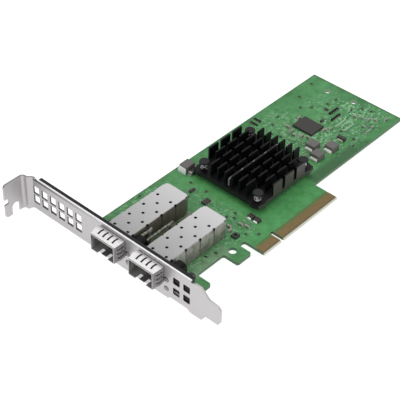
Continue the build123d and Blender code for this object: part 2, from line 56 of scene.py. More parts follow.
nodes = frame["nodes"]
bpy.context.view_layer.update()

# %% [markdown]
# The drawing measures the card from a datum: the middle of the board's width,
# the outer face of the bracket and the top of the board. The board starts a
# little behind that face. Millimetres from the datum are easier to think in
# than metres, so small helpers turn one into the other.

# %% Card coordinates
MM = 0.001
BOARD_FRONT = 2.86
board_low, board_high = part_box("circuit_board")
DATUM = Vector(((board_low.x + board_high.x) / 2, board_low.y - BOARD_FRONT * MM, board_high.z))


def card(x, y, z):
    """Place in metres of a point given in millimetres from the card's datum."""
    return DATUM + Vector((x, y, z)) * MM


def from_datum(place):
    """Millimetres from the card's datum to a place in metres."""
    return (place - DATUM) / MM


def card_box(node):
    """Lowest and highest corner of a node, in millimetres from the card's datum."""
    return [from_datum(corner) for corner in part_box(node)]


print("datum:", [round(v / MM, 3) for v in DATUM])

# %% [markdown]
# ## Camera
# The photograph looks down on the card's front corner with a long lens. The
# turn, height, roll and distance below put the solids' corners where the
# photograph has them. The camera could be aimed by eye, but numbers solved from
# corners of known places fit them all at once. The distance and the two shifts
# are millimetres, and the focal length is in pixels of a frame 400 pixels wide.

# %% Camera
TURN, HEIGHT, ROLL = math.radians(41.54), math.radians(40.854), math.radians(1.138)
DISTANCE, SHIFT_RIGHT, SHIFT_UP = 549.58, 26.549, 29.025
FOCAL_LENGTH, FRAME_WIDTH, SENSOR_WIDTH = 1267.72, 400, 36
back = Vector((
    math.sin(TURN) * math.cos(HEIGHT),
    -math.cos(TURN) * math.cos(HEIGHT),
    math.sin(HEIGHT),
))
right = Vector((math.cos(TURN), math.sin(TURN), 0))
up = back.cross(right)
rolled_right = math.cos(ROLL) * right + math.sin(ROLL) * up
rolled_up = back.cross(rolled_right)

camera_data = bpy.data.cameras.new("camera")
camera_data.sensor_width = SENSOR_WIDTH
camera_data.lens = FOCAL_LENGTH / FRAME_WIDTH * SENSOR_WIDTH
camera_data.clip_start = 0.05
camera_data.clip_end = 20
camera = bpy.data.objects.new("camera", camera_data)
scene.collection.objects.link(camera)
axes = Matrix((rolled_right, rolled_up, back)).transposed().to_4x4()
away = DISTANCE * back + SHIFT_RIGHT * rolled_right + SHIFT_UP * rolled_up
axes.translation = card(0, 0, 0) + away * MM
camera.matrix_world = axes
scene.camera = camera
print("camera at", [round(v, 3) for v in camera.location])

# %% [markdown]
# ## Light and floor
# A product picture like this one is taken in a white tent. A pale floor, a
# bright even world and three large soft lamps do the same, and leave soft
# shadows under the raised parts. Small lamps would be simpler, but their hard
# shadows would tell. The floor lies a hair below the card.

# %% Light and floor
WORLD_STRENGTH = 0.6
FLOOR_SIZE, FLOOR_GAP = 8, 0.0002
scene.view_settings.view_transform = "Standard"
world = bpy.data.worlds.new("tent")
scene.world = world
world.use_nodes = True
world.node_tree.nodes["Background"].inputs["Color"].default_value = (1, 1, 1, 1)
world.node_tree.nodes["Background"].inputs["Strength"].default_value = WORLD_STRENGTH


def lamp(name, place, size, power):
    """Square soft lamp that points at the middle of the card."""
    data = bpy.data.lights.new(name, "AREA")
    data.size = size
    data.energy = power
    lamp_object = bpy.data.objects.new(name, data)
    scene.collection.objects.link(lamp_object)
    lamp_object.location = place
    lamp_object.rotation_euler = (Vector(place) * -1).to_track_quat("-Z", "Y").to_euler()


lamp("top_lamp", place=(-0.2, 0.3, 0.95), size=1.0, power=3)
lamp("front_lamp", place=(0.1, -0.9, 0.45), size=0.8, power=1.5)
lamp("side_lamp", place=(0.9, 0.1, 0.5), size=0.8, power=1.5)

bpy.ops.object.select_all(action="DESELECT")
bpy.ops.mesh.primitive_plane_add(size=FLOOR_SIZE, location=(0, 0, -FLOOR_GAP))
floor = bpy.context.object
floor.name = "floor"
print("lamps and floor ready")

# %% [markdown]
# ## Writing finishes as sums
# A finish is a sum of patterns. This small class wraps a socket of a shader, so
# that patterns are added, multiplied and compared like numbers, and each sum
# adds the Math nodes that it needs.

# %% A socket that can be added and multiplied


class Field:
    """A socket's output that sums with numbers and other fields."""

    def __init__(self, finish, socket):
        self.finish = finish
        self.socket = socket

    def _math(self, operation, *values):
        return self.finish.node("ShaderNodeMath", {"operation": operation}, values)

    def __add__(self, other):
        return self._math("ADD", self, other)

    __radd__ = __add__

    def __mul__(self, other):
        return self._math("MULTIPLY", self, other)

    __rmul__ = __mul__

    def __sub__(self, other):
        return self._math("SUBTRACT", self, other)

    def __rsub__(self, other):
        return self._math("SUBTRACT", other, self)

    def __gt__(self, other):
        return self._math("GREATER_THAN", self, other)

    def __lt__(self, other):
        return self._math("LESS_THAN", self, other)

    def __abs__(self):
        return self._math("ABSOLUTE", self)

    def fold(self, size):
        """Folds the field back and forth, so that it runs from 0 to size and back to 0."""
        return self._math("PINGPONG", self, size)


print("fields ready")

# %% [markdown]
# A finish is one material with one Principled shader. Its method node adds any
# node, and the others give the patterns that this card needs. Each pattern
# reads the place in card millimetres, so no two copies of a piece look alike.

# %% A material with its patterns
FINISHES = {}


class Finish:
    """A material with one Principled shader and helpers that add nodes to it."""

    def __init__(self, name, roughness=0.5, metallic=0.0, coat=0.0):
        self.material = bpy.data.materials.new(name)
        self.material.use_nodes = True
        self.tree = self.material.node_tree
        self.shader = self.tree.nodes["Principled BSDF"]
        for socket, value in (("Roughness", roughness), ("Metallic", metallic), ("Coat Weight", coat)):
            self.shader.inputs[socket].default_value = value
        place = self.node("ShaderNodeTexCoord", {}, {}, "Object")
        kind = "ShaderNodeVectorMath"
        reach = self.node(kind, {"operation": "SUBTRACT"}, [place, tuple(DATUM)], "Vector")
        self.mm = self.node(kind, {"operation": "SCALE"}, {"Vector": reach, "Scale": 1 / MM}, "Vector")
        FINISHES[name] = self.material

    def node(self, kind, settings, values, output=0):
        """Adds a node: its settings first, then the values or links of its sockets."""
        made = self.tree.nodes.new(kind)
        for name, value in settings.items():
            setattr(made, name, value)
        pairs = values.items() if isinstance(values, dict) else enumerate(values)
        for key, value in pairs:
            socket = made.inputs[key]
            if isinstance(value, Field):
                self.tree.links.new(value.socket, socket)
            elif socket.type == "RGBA":
                socket.default_value = (*value, 1)
            else:
                socket.default_value = value
        return Field(self, made.outputs[output])

    def split(self, field):
        """The three parts of a vector, as fields."""
        made = self.node("ShaderNodeSeparateXYZ", {}, [field]).socket.node
        return [Field(self, output) for output in made.outputs]

    def axes(self):
        """The three card coordinates, in millimetres, as fields."""
        return self.split(self.mm)

    def facing(self):
        """The three parts of the surface's normal, as fields."""
        return self.split(self.node("ShaderNodeNewGeometry", {}, {}, "Normal"))

    def noise(self, scale, detail=3.0, roughness=0.55, stretch=(1, 1, 1)):
        """Cloudy pattern; scale is its number of blobs per millimetre."""
        spot = self.node("ShaderNodeMapping", {}, {"Vector": self.mm, "Scale": stretch}, "Vector")
        values = {"Vector": spot, "Scale": scale, "Detail": detail, "Roughness": roughness}
        return self.node("ShaderNodeTexNoise", {}, values, "Fac")

    def cells(self, scale, output="Distance", metric="EUCLIDEAN"):
        """Cells scattered over the board; scale is their number per millimetre."""
        settings = {"distance": metric, "voronoi_dimensions": "2D"}
        return self.node("ShaderNodeTexVoronoi", settings, {"Vector": self.mm, "Scale": scale}, output)

    def band(self, field, low, high):
        """1 where the field lies between two values, 0 elsewhere."""
        return (field > low) * (field < high)

    def rise(self, field, low, high):
        """0 at one value and 1 at another, with an even slope between them."""
        values = {"Value": field, "From Min": low, "From Max": high}
        return self.node("ShaderNodeMapRange", {}, values, "Result")

    def mix(self, mask, first, second):
        """Colour: the first where the mask is 0, the second where it is 1."""
        # The node's sockets for colours come after those for numbers and vectors
        return self.node("ShaderNodeMix", {"data_type": "RGBA"}, {0: mask, 6: first, 7: second}, 2)

    def over(self, color, layers):
        """Lays pairs of mask and colour over a colour, one after the other."""
        for mask, layer in layers:
            color = self.mix(mask, color, layer)
        return color

    def paint(self, color, roughness=None, metallic=None, bump=None, bump_height=0.01):
        """Links what changes over the surface; the bump's height is in millimetres."""
        varying = {"Base Color": color, "Roughness": roughness, "Metallic": metallic}
        if bump is not None:
            values = {"Strength": 1.0, "Distance": bump_height * MM, "Height": bump}
            varying["Normal"] = self.node("ShaderNodeBump", {}, values, "Normal")
        for socket, field in varying.items():
            if field is not None:
                self.tree.links.new(field.socket, self.shader.inputs[socket])
        return self.material


print("finish helpers ready")

# %% [markdown]
# ## Metals
# The bracket, the cages and the spring collars are thin plated sheet. Plated
# sheet is bright but not a mirror: rolling leaves faint streaks along it, and
# handling leaves cloudy patches that reflect a little less. A picture of sheet
# could be wrapped round them, but a formula has no seams and stays sharp. One
# function gives every metal these streaks and clouds. What differs from piece to
# piece, such as painted shade inside a cage and painted reflections on its
# flanks, is a list of masks and colours laid over it.

# %% Plated sheet


def sheet_metal(name, tone, rough, streak_along, shade=None, dull=0.0, shine=0.75):
    """Plated sheet, streaked along an axis; dull takes shine off the faces towards +X."""
    finish = Finish(name, metallic=shine)
    stretch = [6.0, 6.0, 6.0]
    stretch[streak_along] = 0.15
    streaks = finish.noise(1.2, 4.0, 0.6, tuple(stretch))
    clouds = finish.noise(0.06, 2.0)
    dark = tuple(v * 0.85 for v in tone)
    color = finish.mix(clouds * 0.5 + streaks * 0.5, dark, tone)
    metallic = None
    if dull:
        metallic = shine - finish.rise(finish.facing()[0], 0.3, 0.7) * dull
    return finish.paint(
        color=finish.over(color, shade(finish) if shade else []),
        roughness=streaks * 0.16 + clouds * 0.14 + (rough - 0.15),
        metallic=metallic,
        bump=streaks,
        bump_height=0.004,
    )


print("plated sheet ready")

# %% [markdown]
# The bracket mirrors a darker room beside its tab and the bright tent towards
# its tail. Real mirroring would need that room, so these tones are a painted
# reflection. The walls of its punched holes, the top edge of its tab and its
# ears, seen through the windows, get painted shade, a line just under the
# flange's top a painted shadow, and the flange's top a painted highlight. A mask
# joins limits in card millimetres with the way the surface faces.

# %% Shades of the bracket
TAB_X, EDGE_X, FLANGE_Z, FOLD_Z, EAR_Z = -67, -66, 12, 11.3, -1.3


def bracket_shade(finish):
    """Painted reflection, brighter towards the tail and duller at the tab, painted shade on the hole
    walls, the tab's top edge and the ears, a painted shadow line under the flange's top and a painted
    highlight on that top.
    """
    x, y, z = finish.axes()
    _, ny, nz = finish.facing()
    face = (ny < -0.7) * (x > TAB_X)
    # Painted reflection: brighter towards the tail, duller towards the tab
    bright = finish.rise(x, -70, -15) * face
    dim = (1 - finish.rise(x, -62, -18)) * face
    # Painted shadow in a line just under the flange's top
    line = (1 - finish.rise(abs(z - FOLD_Z), 0.25, 0.8)) * (1 - finish.rise(x, -56, -22)) * face
    across = finish.band(y, 0.02, 0.84) * finish.band(x, -68, 31.5) * finish.band(z, -5.4, 11.6)
    # Painted shade on the walls of the punched holes
    wall = (abs(ny) < 0.6) * across
    # Painted shade on the tab's top edge and on the ears behind the windows, and a painted highlight on
    # the flange's top
    tab_edge_shade = (nz > 0.7) * (x < EDGE_X)
    top = (nz > 0.7) * (z > FLANGE_Z)
    ear_shade = (y > 0.9) * (z < EAR_Z) * finish.band(x, -32, 32)
    return [
        (bright * 0.8, (0.58, 0.56, 0.57)),
        (dim * 0.5, (0.42, 0.41, 0.415)),
        (top * 0.9, (0.92, 0.92, 0.92)),
        (line * 0.85, (0.08, 0.08, 0.08)),
        (wall * 0.9, (0.05, 0.05, 0.05)),
        (tab_edge_shade * 0.8, (0.10, 0.10, 0.09)),
        (ear_shade * 0.9, (0.07, 0.07, 0.07)),
    ]


sheet_metal("bracket_steel", (0.56, 0.54, 0.55), 0.42, 0, bracket_shade)
print("bracket steel ready")

# %% [markdown]
# A cage is a folded box. Its side walls are painted olive, a painted reflection
# of the green board and the dark heat sink, mottled and darker towards the board;
# the left cage's flank, which faces the other cage, gets painted shade, and a pale
# painted reflection lies near the rear of the right one's. A dark seam runs below
# each slot. A cage's top is painted lighter, with painted shade towards the
# bracket. Light hardly reaches its inside, so the inside, the sheet under the
# collar, the slot mouths and the latch tongue get painted shade. The ports'
# middles follow from the cages, and the slots along the folded edges have a pitch
# of their own.

# %% Shades of the cages
SLOT_FIRST, SLOT_PITCH, SLOT_MOUTH, SEAM = 5.2, 9.05, 0.7, 0.4
BRACKET_BACK, CAGE_END, CAGE_FLOOR, CAGE_ROOF, CAGE_INSIDE = 2.9, 41.3, 1.3, 9.6, 6.82
PORT_X = []
for cage in ("port_cage_left", "port_cage_right"):
    low, high = card_box(cage)
    PORT_X.append(round((low.x + high.x) / 2, 2))


def cage_shade(finish):
    """Painted light: a lighter top with painted shade towards the bracket, olive flanks painted as a
    reflection, with a seam below each slot, and painted shade inside.
    """
    x, y, z = finish.axes()
    nx, _, nz = finish.facing()
    top = nz > 0.7
    behind = y > BRACKET_BACK
    flank = (nx > 0.6) * behind
    # Blotches for the painted shade on the flanks and inside the ports
    shade_blotches = finish.noise(0.4, 4.0, 0.7, (1, 1, 0.5))
    to_slot = (y - SLOT_FIRST).fold(SLOT_PITCH / 2)
    # Painted shade in the mouths of the slots
    slot_mouth_shade = (to_slot < SLOT_MOUTH) * (z > 8.8) * behind
    seam = (to_slot < SEAM) * flank
    layers = [
        # Painted light on the top and painted shade towards the bracket; on the flanks a painted
        # reflection of the board, darker towards the board, blotched, in painted shade on the left cage
        # and with a pale painted reflection on the right one
        (top, (0.63, 0.62, 0.63)),
        ((1 - finish.rise(y, -2, 42)) * top * behind, (0.30, 0.30, 0.30)),
        (flank * 0.85, (0.36, 0.35, 0.32)),
        (flank * (1 - finish.rise(z, 1, 9)) * 0.6, (0.14, 0.15, 0.10)),
        (flank * finish.rise(shade_blotches, 0.44, 0.60) * 0.65, (0.10, 0.10, 0.075)),
        (flank * (x < 0) * 0.75, (0.10, 0.085, 0.062)),
        (flank * (x > 0) * finish.rise(y, 30, 38) * (z > 5) * 0.35, (0.55, 0.50, 0.47)),
        (seam * (0.35 + finish.rise(z, 2, 8) * 0.5), (0.04, 0.04, 0.035)),
    ]
    for middle in PORT_X:
        across = abs(x - middle)
        # Painted shade inside the port, on the sheet under the collar and on the tongue
        inside = (across < CAGE_INSIDE) * finish.band(z, CAGE_FLOOR, CAGE_ROOF) * (y < CAGE_END)
        outside = ((across > 7.0) + (z > 9.8)) * (across < 8) * (z > CAGE_FLOOR)
        under_collar_shade = finish.band(y, -6.6, 2.8) * outside
        tongue = (across < 1.6) * (y < 0) * (z < CAGE_FLOOR)
        layers += [
            (slot_mouth_shade * finish.band(x - middle, 6.6, 7.3), (0.02, 0.02, 0.02)),
            (inside * (0.25 + finish.rise(shade_blotches, 0.40, 0.60) * 0.45), (0.03, 0.028, 0.03)),
            (under_collar_shade * 0.95, (0.03, 0.03, 0.03)),
            (tongue * 0.6, (0.10, 0.10, 0.095)),
        ]
    return layers


sheet_metal("cage_steel", (0.52, 0.52, 0.50), 0.4, 1, cage_shade, 0.5)
print("cage steel ready, ports at", PORT_X)

# %% [markdown]
# The other metals are small. A collar's fingers get a painted highlight on their
# crowns and painted shade on their flanks, and a coil lies in the shade of its
# pin's cap, so only glints of it stay bright. Solder and tin differ mostly in tone.

# %% Other metals


def collar_shade(finish):
    """Painted highlight on the crowns on top, and painted shade on the flanks."""
    nx, _, nz = finish.facing()
    # Painted highlight on faces that look up, painted shade on faces that look to +X
    return [
        (finish.rise(nz, 0.2, 0.8), (0.70, 0.69, 0.69)),
        (finish.rise(nx, 0.3, 0.7) * 0.9, (0.22, 0.21, 0.22)),
    ]


def coil_shade(finish):
    """Dark turns where the cap shades the coil, so that only glints stay bright."""
    return [(1 - finish.rise(finish.noise(0.9, 2.0), 0.46, 0.54), (0.03, 0.03, 0.03))]


sheet_metal("collar_steel", (0.60, 0.59, 0.59), 0.34, 1, collar_shade, 0.5)
wire_steel = sheet_metal("wire_steel", (0.25, 0.25, 0.25), 0.4, 1, shine=0.15)
spring_steel = sheet_metal("spring_steel", (0.85, 0.85, 0.85), 0.25, 2, coil_shade, shine=0.5)
solder_tin = sheet_metal("solder_tin", (0.45, 0.45, 0.43), 0.36, 2)
bright_tin = sheet_metal("bright_tin", (0.95, 0.95, 0.93), 0.3, 2, shine=0.05)
pale_tin = sheet_metal("pale_tin", (0.50, 0.46, 0.38), 0.4, 2, shine=0.3)
screw_steel = sheet_metal("screw_steel", (0.10, 0.10, 0.10), 0.35, 1)
pad_tin = sheet_metal("pad_tin", (0.22, 0.29, 0.21), 0.5, 2)
print("metals ready:", len(FINISHES))

# %% [markdown]
# Gold contacts are thin plating over nickel, and slide marks run along them,
# in the direction in which the card is pushed into its slot. At their inner
# ends the green lacquer laps over them with a ragged edge.

# %% Gold plating
gold = Finish("contact_gold", metallic=0.85)
slide_marks = gold.noise(1.5, 3.0, 0.6, (0.3, 6, 6))
reach = gold.axes()[0] + gold.noise(0.5, 2.0) * 2.0
plated = gold.mix(slide_marks, (0.185, 0.125, 0.055), (0.30, 0.205, 0.095))
gold.paint(
    color=gold.mix(gold.rise(reach, 31.4, 29.2) * 0.85, plated, (0.07, 0.17, 0.06)),
    roughness=slide_marks * 0.2 + 0.3,
)
print("gold ready")

# %% [markdown]
# ## The board's lacquer
# A printed board is glass cloth under green lacquer. Wide copper areas show
# through it as paler or darker areas, and blotches tell where inner layers end.
# The strip between the cages has no lacquer and is partly tinned. Round the heat
# sink and beside the right cage the lacquer is painted paler, painted light that
# lifts the shade those parts cast. A painted picture of the board would blur
# close up. So each of these is a mask with its colour, laid over the two tones of
# the lacquer.

# %% Areas of the lacquer
lacquer = Finish("board_green", roughness=0.32)
lacquer.shader.inputs["Specular IOR Level"].default_value = 0.3
x, y, z = lacquer.axes()


def area(low_x, high_x, low_y, high_y, blur=3.0):
    """1 in a rectangle of the board, which fades out over its blurred border."""
    return (
        lacquer.rise(x, low_x - blur, low_x + blur)
        * lacquer.rise(x, high_x + blur, high_x - blur)
        * lacquer.rise(y, low_y - blur, low_y + blur)
        * lacquer.rise(y, high_y + blur, high_y - blur)
    )


tone = lacquer.noise(0.05, 3.0)
base = lacquer.mix(lacquer.rise(tone, 0.35, 0.65), (0.042, 0.20, 0.055), (0.085, 0.31, 0.098))
pours = lacquer.cells(0.14, "Color", "CHEBYCHEV")
upper = z > -0.5
tinned = area(-9.6, 0.2, 9, 42, 1.0) * lacquer.rise(lacquer.noise(0.5, 3.0), 0.35, 0.5) * upper
blotch = lacquer.rise(lacquer.noise(0.22, 3.0, 0.65), 0.35, 0.65)
base = lacquer.over(base, [
    (lacquer.rise(pours, 0.5, 1.0) * 0.35, (0.022, 0.15, 0.030)),
    (area(19, 28, 46, 96, 2.5) * 0.7, (0.060, 0.34, 0.080)),
    # Painted light round the heat sink, which lifts the shade that it casts
    (area(-27, 17, 56, 108, 4.0) * 0.6, (0.15, 0.52, 0.16)),
    (area(15.5, 40, 98, 140, 1.5) * 0.8, (0.022, 0.115, 0.028)),
    # Painted light beside the right cage, which lifts the cage's shade
    (area(15.5, 24, 12, 36, 1.5) * 0.75, (0.25, 0.36, 0.23)),
    (area(-10.5, 1.4, 7, 42, 1.2) * upper * 0.75, (0.12, 0.125, 0.075)),
    (tinned * 0.7, (0.30, 0.28, 0.23)),
    (area(-30, -8, 118, 164, 4.0) * 0.6, (0.085, 0.31, 0.105)),
    (0.30 - blotch * 0.30, (0.020, 0.10, 0.028)),
    (blotch * 0.22, (0.13, 0.42, 0.17)),
])
print("areas of the lacquer ready")

# %% [markdown]
# Copper tracks run in bundles of parallel lines that turn at 45 degrees, and
# they stand a little proud. The distance in a Voronoi pattern, measured along
# the axes and folded, gives such lines. Fine parts and drilled holes are too
# small to model, so pale and dark specks stand for them. They crowd at the far
# end and round the ports.

# %% Tracks and specks
runs = lacquer.cells(0.16, metric="MANHATTAN")
track = lacquer.band((runs * 9.0).fold(1.0), 0.55, 0.92) * (lacquer.noise(0.07, 1.0) > 0.5)

CROWDED = [
    (1.0, -8, 16, 118, 164, 3.0), (0.7, -30, 4, 108, 132, 3.0), (0.5, -24, 6, 140, 160, 3.0),
    (0.6, 2, 22, 12, 56, 3.0), (0.8, -34, -26, 8, 44, 1.0), (0.5, -22, 2, 46, 56, 3.0),
]
crowd = sum(area(*place) * share for share, *place in CROWDED)
crowd = crowd * lacquer.rise(lacquer.noise(0.12, 2.0), 0.30, 0.48)
mist = lacquer.rise(lacquer.noise(0.40, 3.0, 0.7), 0.42, 0.6) * crowd
speck = lacquer.rise(lacquer.cells(0.62), 0.46, 0.26) * crowd
speck_kind = lacquer.cells(0.62, "Color")
pale = (speck_kind > 0.56) * speck
gloom = (speck_kind < 0.42) * speck
smooth = area(15, 40, 97, 131, 1.2) * (x < 22)
base = lacquer.over(base, [
    (track * 0.3, (0.10, 0.36, 0.14)),
    (mist * 0.6, (0.16, 0.42, 0.19)),
    (pale * 0.75, (0.30, 0.55, 0.32)),
    (gloom * 0.7, (0.024, 0.095, 0.033)),
    (smooth * 0.75, (0.042, 0.130, 0.048)),
])
print("tracks and specks ready")

# %% [markdown]
# The tongue has no lacquer between its contacts, so the brownish cloth shows
# there, and its bevel is cut through to the pale core. The board's cut edges
# are darker, and the rims of the two rear holes are plated. The holes' places
# come from the record's mounts.

# %% Tongue, edges and rims
TONGUE_Y, CLOTH_X, CUT_X, BEVEL_X = (43.8, 96.1), (28.6, 30.2), 33.3, 33.9
UPPER_SKIN, LOWER_SKIN, BORDER_X, BORDER_Y, RIM_RADIUS = -0.02, -1.55, -33.9, 165.0, 1.7
hole_at = {mount["name"]: from_datum(Vector(mount["pos_m"])) for mount in frame["record"]["mounts"]}
along = lacquer.band(y, *TONGUE_Y)
bare = lacquer.rise(x, *CLOTH_X) * along
bevel = (x > BEVEL_X) * along
flat_face = (z > UPPER_SKIN) + (z < LOWER_SKIN)
layers = [
    (bare, (0.17, 0.125, 0.055)),
    (bevel, (0.60, 0.61, 0.53)),
    ((1 - flat_face) * (1 - (x > CUT_X) * along), (0.055, 0.12, 0.055)),
]
for name in ("rear_hole_left", "rear_hole_right"):
    aside, beyond = x - hole_at[name].x, y - hole_at[name].y
    plated_rim = aside * aside + beyond * beyond < RIM_RADIUS ** 2
    layers.append((plated_rim * 0.75, (0.33, 0.40, 0.32)))
border = (y > BORDER_Y) + (x < BORDER_X)
layers.append((border * 0.5, (0.06, 0.11, 0.05)))
grain = lacquer.noise(1.4, 2.0)
lacquer.paint(
    color=lacquer.over(base, layers),
    roughness=grain * 0.12 + bare * 0.2 + 0.30,
    bump=track * 0.6 + pale * 0.5 + grain * 0.25,
    bump_height=0.02,
)
print("lacquer ready")

# %% [markdown]
# ## Plastics, pads and ceramics
# Moulded black parts are never plain black: the mould leaves a fine grain that
# shows in their tone and their gloss. Fired and pressed parts have a sandy,
# slightly mottled body. So one function gives them all two tones and a grain.

# %% Mottled finishes


def mottled(name, low, high, rough, scale=1.5, metallic=0.0, bump_height=0.01):
    """Fine mottling between two tones, with the same grain in its relief."""
    finish = Finish(name, metallic=metallic)
    grain = finish.noise(scale, 4.0, 0.65)
    patch = finish.noise(scale * 0.08, 2.0)
    return finish.paint(
        color=finish.mix(grain * 0.6 + patch * 0.4, low, high),
        roughness=grain * 0.2 + patch * 0.1 + (rough - 0.15),
        bump=grain,
        bump_height=bump_height,
    )


mottled("pin_black", (0.004, 0.004, 0.004), (0.016, 0.016, 0.017), 0.3, metallic=0.5)
mottled("pipe_black", (0.003, 0.003, 0.003), (0.016, 0.015, 0.015), 0.4, metallic=0.85)
mottled("connector_black", (0.01, 0.01, 0.01), (0.03, 0.03, 0.03), 0.5)
mottled("gasket_foam", (0.006, 0.006, 0.007), (0.022, 0.022, 0.024), 0.85, 3.0, bump_height=0.05)
mottled("pad_grey", (0.28, 0.28, 0.29), (0.4, 0.4, 0.41), 0.8, 2.0)
mottled("chip_lid", (0.42, 0.42, 0.43), (0.55, 0.55, 0.56), 0.35, 2.0, metallic=0.9)
chip_black = mottled("chip_black", (0.020, 0.019, 0.0155), (0.041, 0.038, 0.033), 0.5, 2.5)
inductor_grey = mottled("inductor_grey", (0.095, 0.09, 0.083), (0.18, 0.17, 0.16), 0.55, 2.5)
capacitor_dark = mottled("capacitor_dark", (0.02, 0.019, 0.018), (0.05, 0.047, 0.045), 0.4, 2.0)
resistor_dark = mottled("resistor_dark", (0.006, 0.006, 0.006), (0.022, 0.022, 0.022), 0.4, 2.0, 0.8)
resistor_film = mottled("resistor_film", (0.014, 0.030, 0.016), (0.045, 0.085, 0.048), 0.4, 2.0)
print_white = mottled("print_white", (0.22, 0.40, 0.24), (0.36, 0.54, 0.37), 0.6, 3.0)
print("mottled finishes ready")

# %% [markdown]
# The heat sink is aluminium with a black coat. Its outermost flank is painted
# paler and made less metallic, a painted highlight where it catches the lamps,
# and the foot of the fins is painted paler too, painted light. The tops of the
# fins are painted darker, a painted shade. The small ceramic chips are sandy, and
# those at the far end of the board are painted green, a painted reflection of
# the green round them.

# %% Heat sink and ceramic chips
sink = Finish("sink_black", metallic=0.8)
x, _, z = sink.axes()
nx, _, nz = sink.facing()
grain = sink.noise(1.5, 4.0, 0.65)
# The outermost flank, which gets a painted highlight and less shine
outer = sink.rise(x, 12.5, 13.5) * (nx > 0.7)
black = sink.mix(grain, (0.006, 0.006, 0.007), (0.022, 0.022, 0.025))
sink.paint(
    color=sink.over(black, [
        # Painted shade on the fins' tops, painted highlight on the outer flank, painted light on the foot
        # of the fins
        ((nz > 0.7) * (z > 9) * 0.8, (0.008, 0.008, 0.008)),
        (outer * 0.85, (0.085, 0.074, 0.068)),
        ((1 - sink.rise(z, 3.6, 4.6)) * (nz < 0.5) * 0.7, (0.05, 0.05, 0.05)),
    ]),
    roughness=grain * 0.2 + 0.35,
    metallic=0.8 - outer * 0.6,
    bump=grain,
)

ceramic = Finish("capacitor_tan")
x, y, _ = ceramic.axes()
grain = ceramic.noise(2.0, 4.0, 0.65)
body = ceramic.mix(grain, (0.20, 0.18, 0.125), (0.36, 0.32, 0.24))
capacitor_tan = ceramic.paint(
    # Chips at the far end are painted green, a painted reflection of the board round them
    color=ceramic.mix((x > 3) * (y > 128) * 0.8, body, (0.20, 0.36, 0.20)),
    roughness=grain * 0.2 + 0.3,
    bump=grain,
)
print("heat sink and ceramic ready")

# %% [markdown]
# Lenses and light guides are clear plastic, but nothing lights them, so they
# look grey and frosted. Each lens has a dark crescent on one side, the shadow
# of the hole that it stands in. Lenses and guides are painted on an opaque
# shader: that renders fast, and a model exported from the scene could carry it.
# The floor glows a little, so that it stays as pale as in the photograph.

# %% Lenses, guides and floor
LENS_ASIDE, LENS_HEIGHTS, LENS_RADIUS = 8.8, (3.3, -1.9), 1.4
lens = Finish("lens_clear", roughness=0.25, coat=0.5)
x, y, z = lens.axes()
frost = lens.noise(1.2, 2.0)
shadows = []
for middle in PORT_X:
    for height in LENS_HEIGHTS:
        across, above = x - (middle + LENS_ASIDE), z - height
        inside = (abs(above) < LENS_RADIUS) * (abs(across) < LENS_RADIUS) * (y < 0.5)
        shadows.append(((above - across > 1.15) * inside * 0.95, (0.01, 0.01, 0.01)))
tint = lens.mix(frost, (0.17, 0.17, 0.17), (0.27, 0.27, 0.27))
lens.paint(color=lens.over(tint, shadows), roughness=frost * 0.2 + 0.15)

guide = Finish("guide_clear", roughness=0.2, coat=0.3)
haze = guide.noise(0.8, 2.0)
guide_clear = guide.paint(
    color=guide.mix(guide.rise(haze, 0.4, 0.6), (0.09, 0.09, 0.07), (0.30, 0.305, 0.26)),
    roughness=haze * 0.2 + 0.15,
)

paper = Finish("floor_white", roughness=0.9)
paper.shader.inputs["Emission Color"].default_value = (1, 1, 1, 1)
paper.shader.inputs["Emission Strength"].default_value = 0.9
fibre = paper.noise(0.02, 2.0)
floor.data.materials.append(paper.paint(paper.mix(fibre, (0.26, 0.26, 0.26), (0.28, 0.28, 0.28))))
print("finishes:", len(FINISHES))

# %% [markdown]
# Every solid names a slot of the record, and each slot has the finish of the
# same name here.

# %% Give the solids their finishes
slot_of = {part["node"]: part["material_slot"] for part in frame["record"]["subparts"]}
for name, solid in nodes.items():
    solid.data.materials.clear()
    solid.data.materials.append(FINISHES[slot_of[name]])
print("finished solids:", len(nodes))

# %% [markdown]
# ## Modelling helpers
# Every small piece is shaped in millimetres round the middle of the scene, as
# on a workbench, and only then goes to its place. A few helpers keep that
# short. These leave a single piece selected, start a block or a ring, and
# select faces in edit mode by a test of their middle and normal.

# %% Helpers that start and shape a piece


def alone(piece):
    """Leaves one piece selected and active."""
    bpy.ops.object.select_all(action="DESELECT")
    piece.select_set(True)
    bpy.context.view_layer.objects.active = piece
    return piece


def block(name, size, middle=(0, 0, 0), *finishes):
    """Cube primitive of a size in millimetres, with its size and place in its mesh."""
    bpy.ops.object.select_all(action="DESELECT")
    bpy.ops.mesh.primitive_cube_add(size=1, location=Vector(middle) * MM, scale=Vector(size) * MM)
    piece = alone(bpy.context.object)
    piece.name = name
    bpy.ops.object.transform_apply(location=True, rotation=True, scale=True)
    for finish in finishes:
        piece.data.materials.append(finish)
    return piece


def ring(name, sides, radius, place, tilt=90, fill="NOTHING"):
    """Circle primitive with its place in metres and its tilt about X in its mesh."""
    bpy.ops.object.select_all(action="DESELECT")
    rotation = (math.radians(tilt), 0, 0)
    bpy.ops.mesh.primitive_circle_add(
        vertices=sides, radius=radius * MM, fill_type=fill, location=place, rotation=rotation
    )
    piece = alone(bpy.context.object)
    piece.name = name
    bpy.ops.object.transform_apply(location=True, rotation=True, scale=True)
    return piece


def edit_all():
    """Enters edit mode with the whole piece selected."""
    bpy.ops.object.mode_set(mode="EDIT")
    bpy.ops.mesh.select_all(action="SELECT")


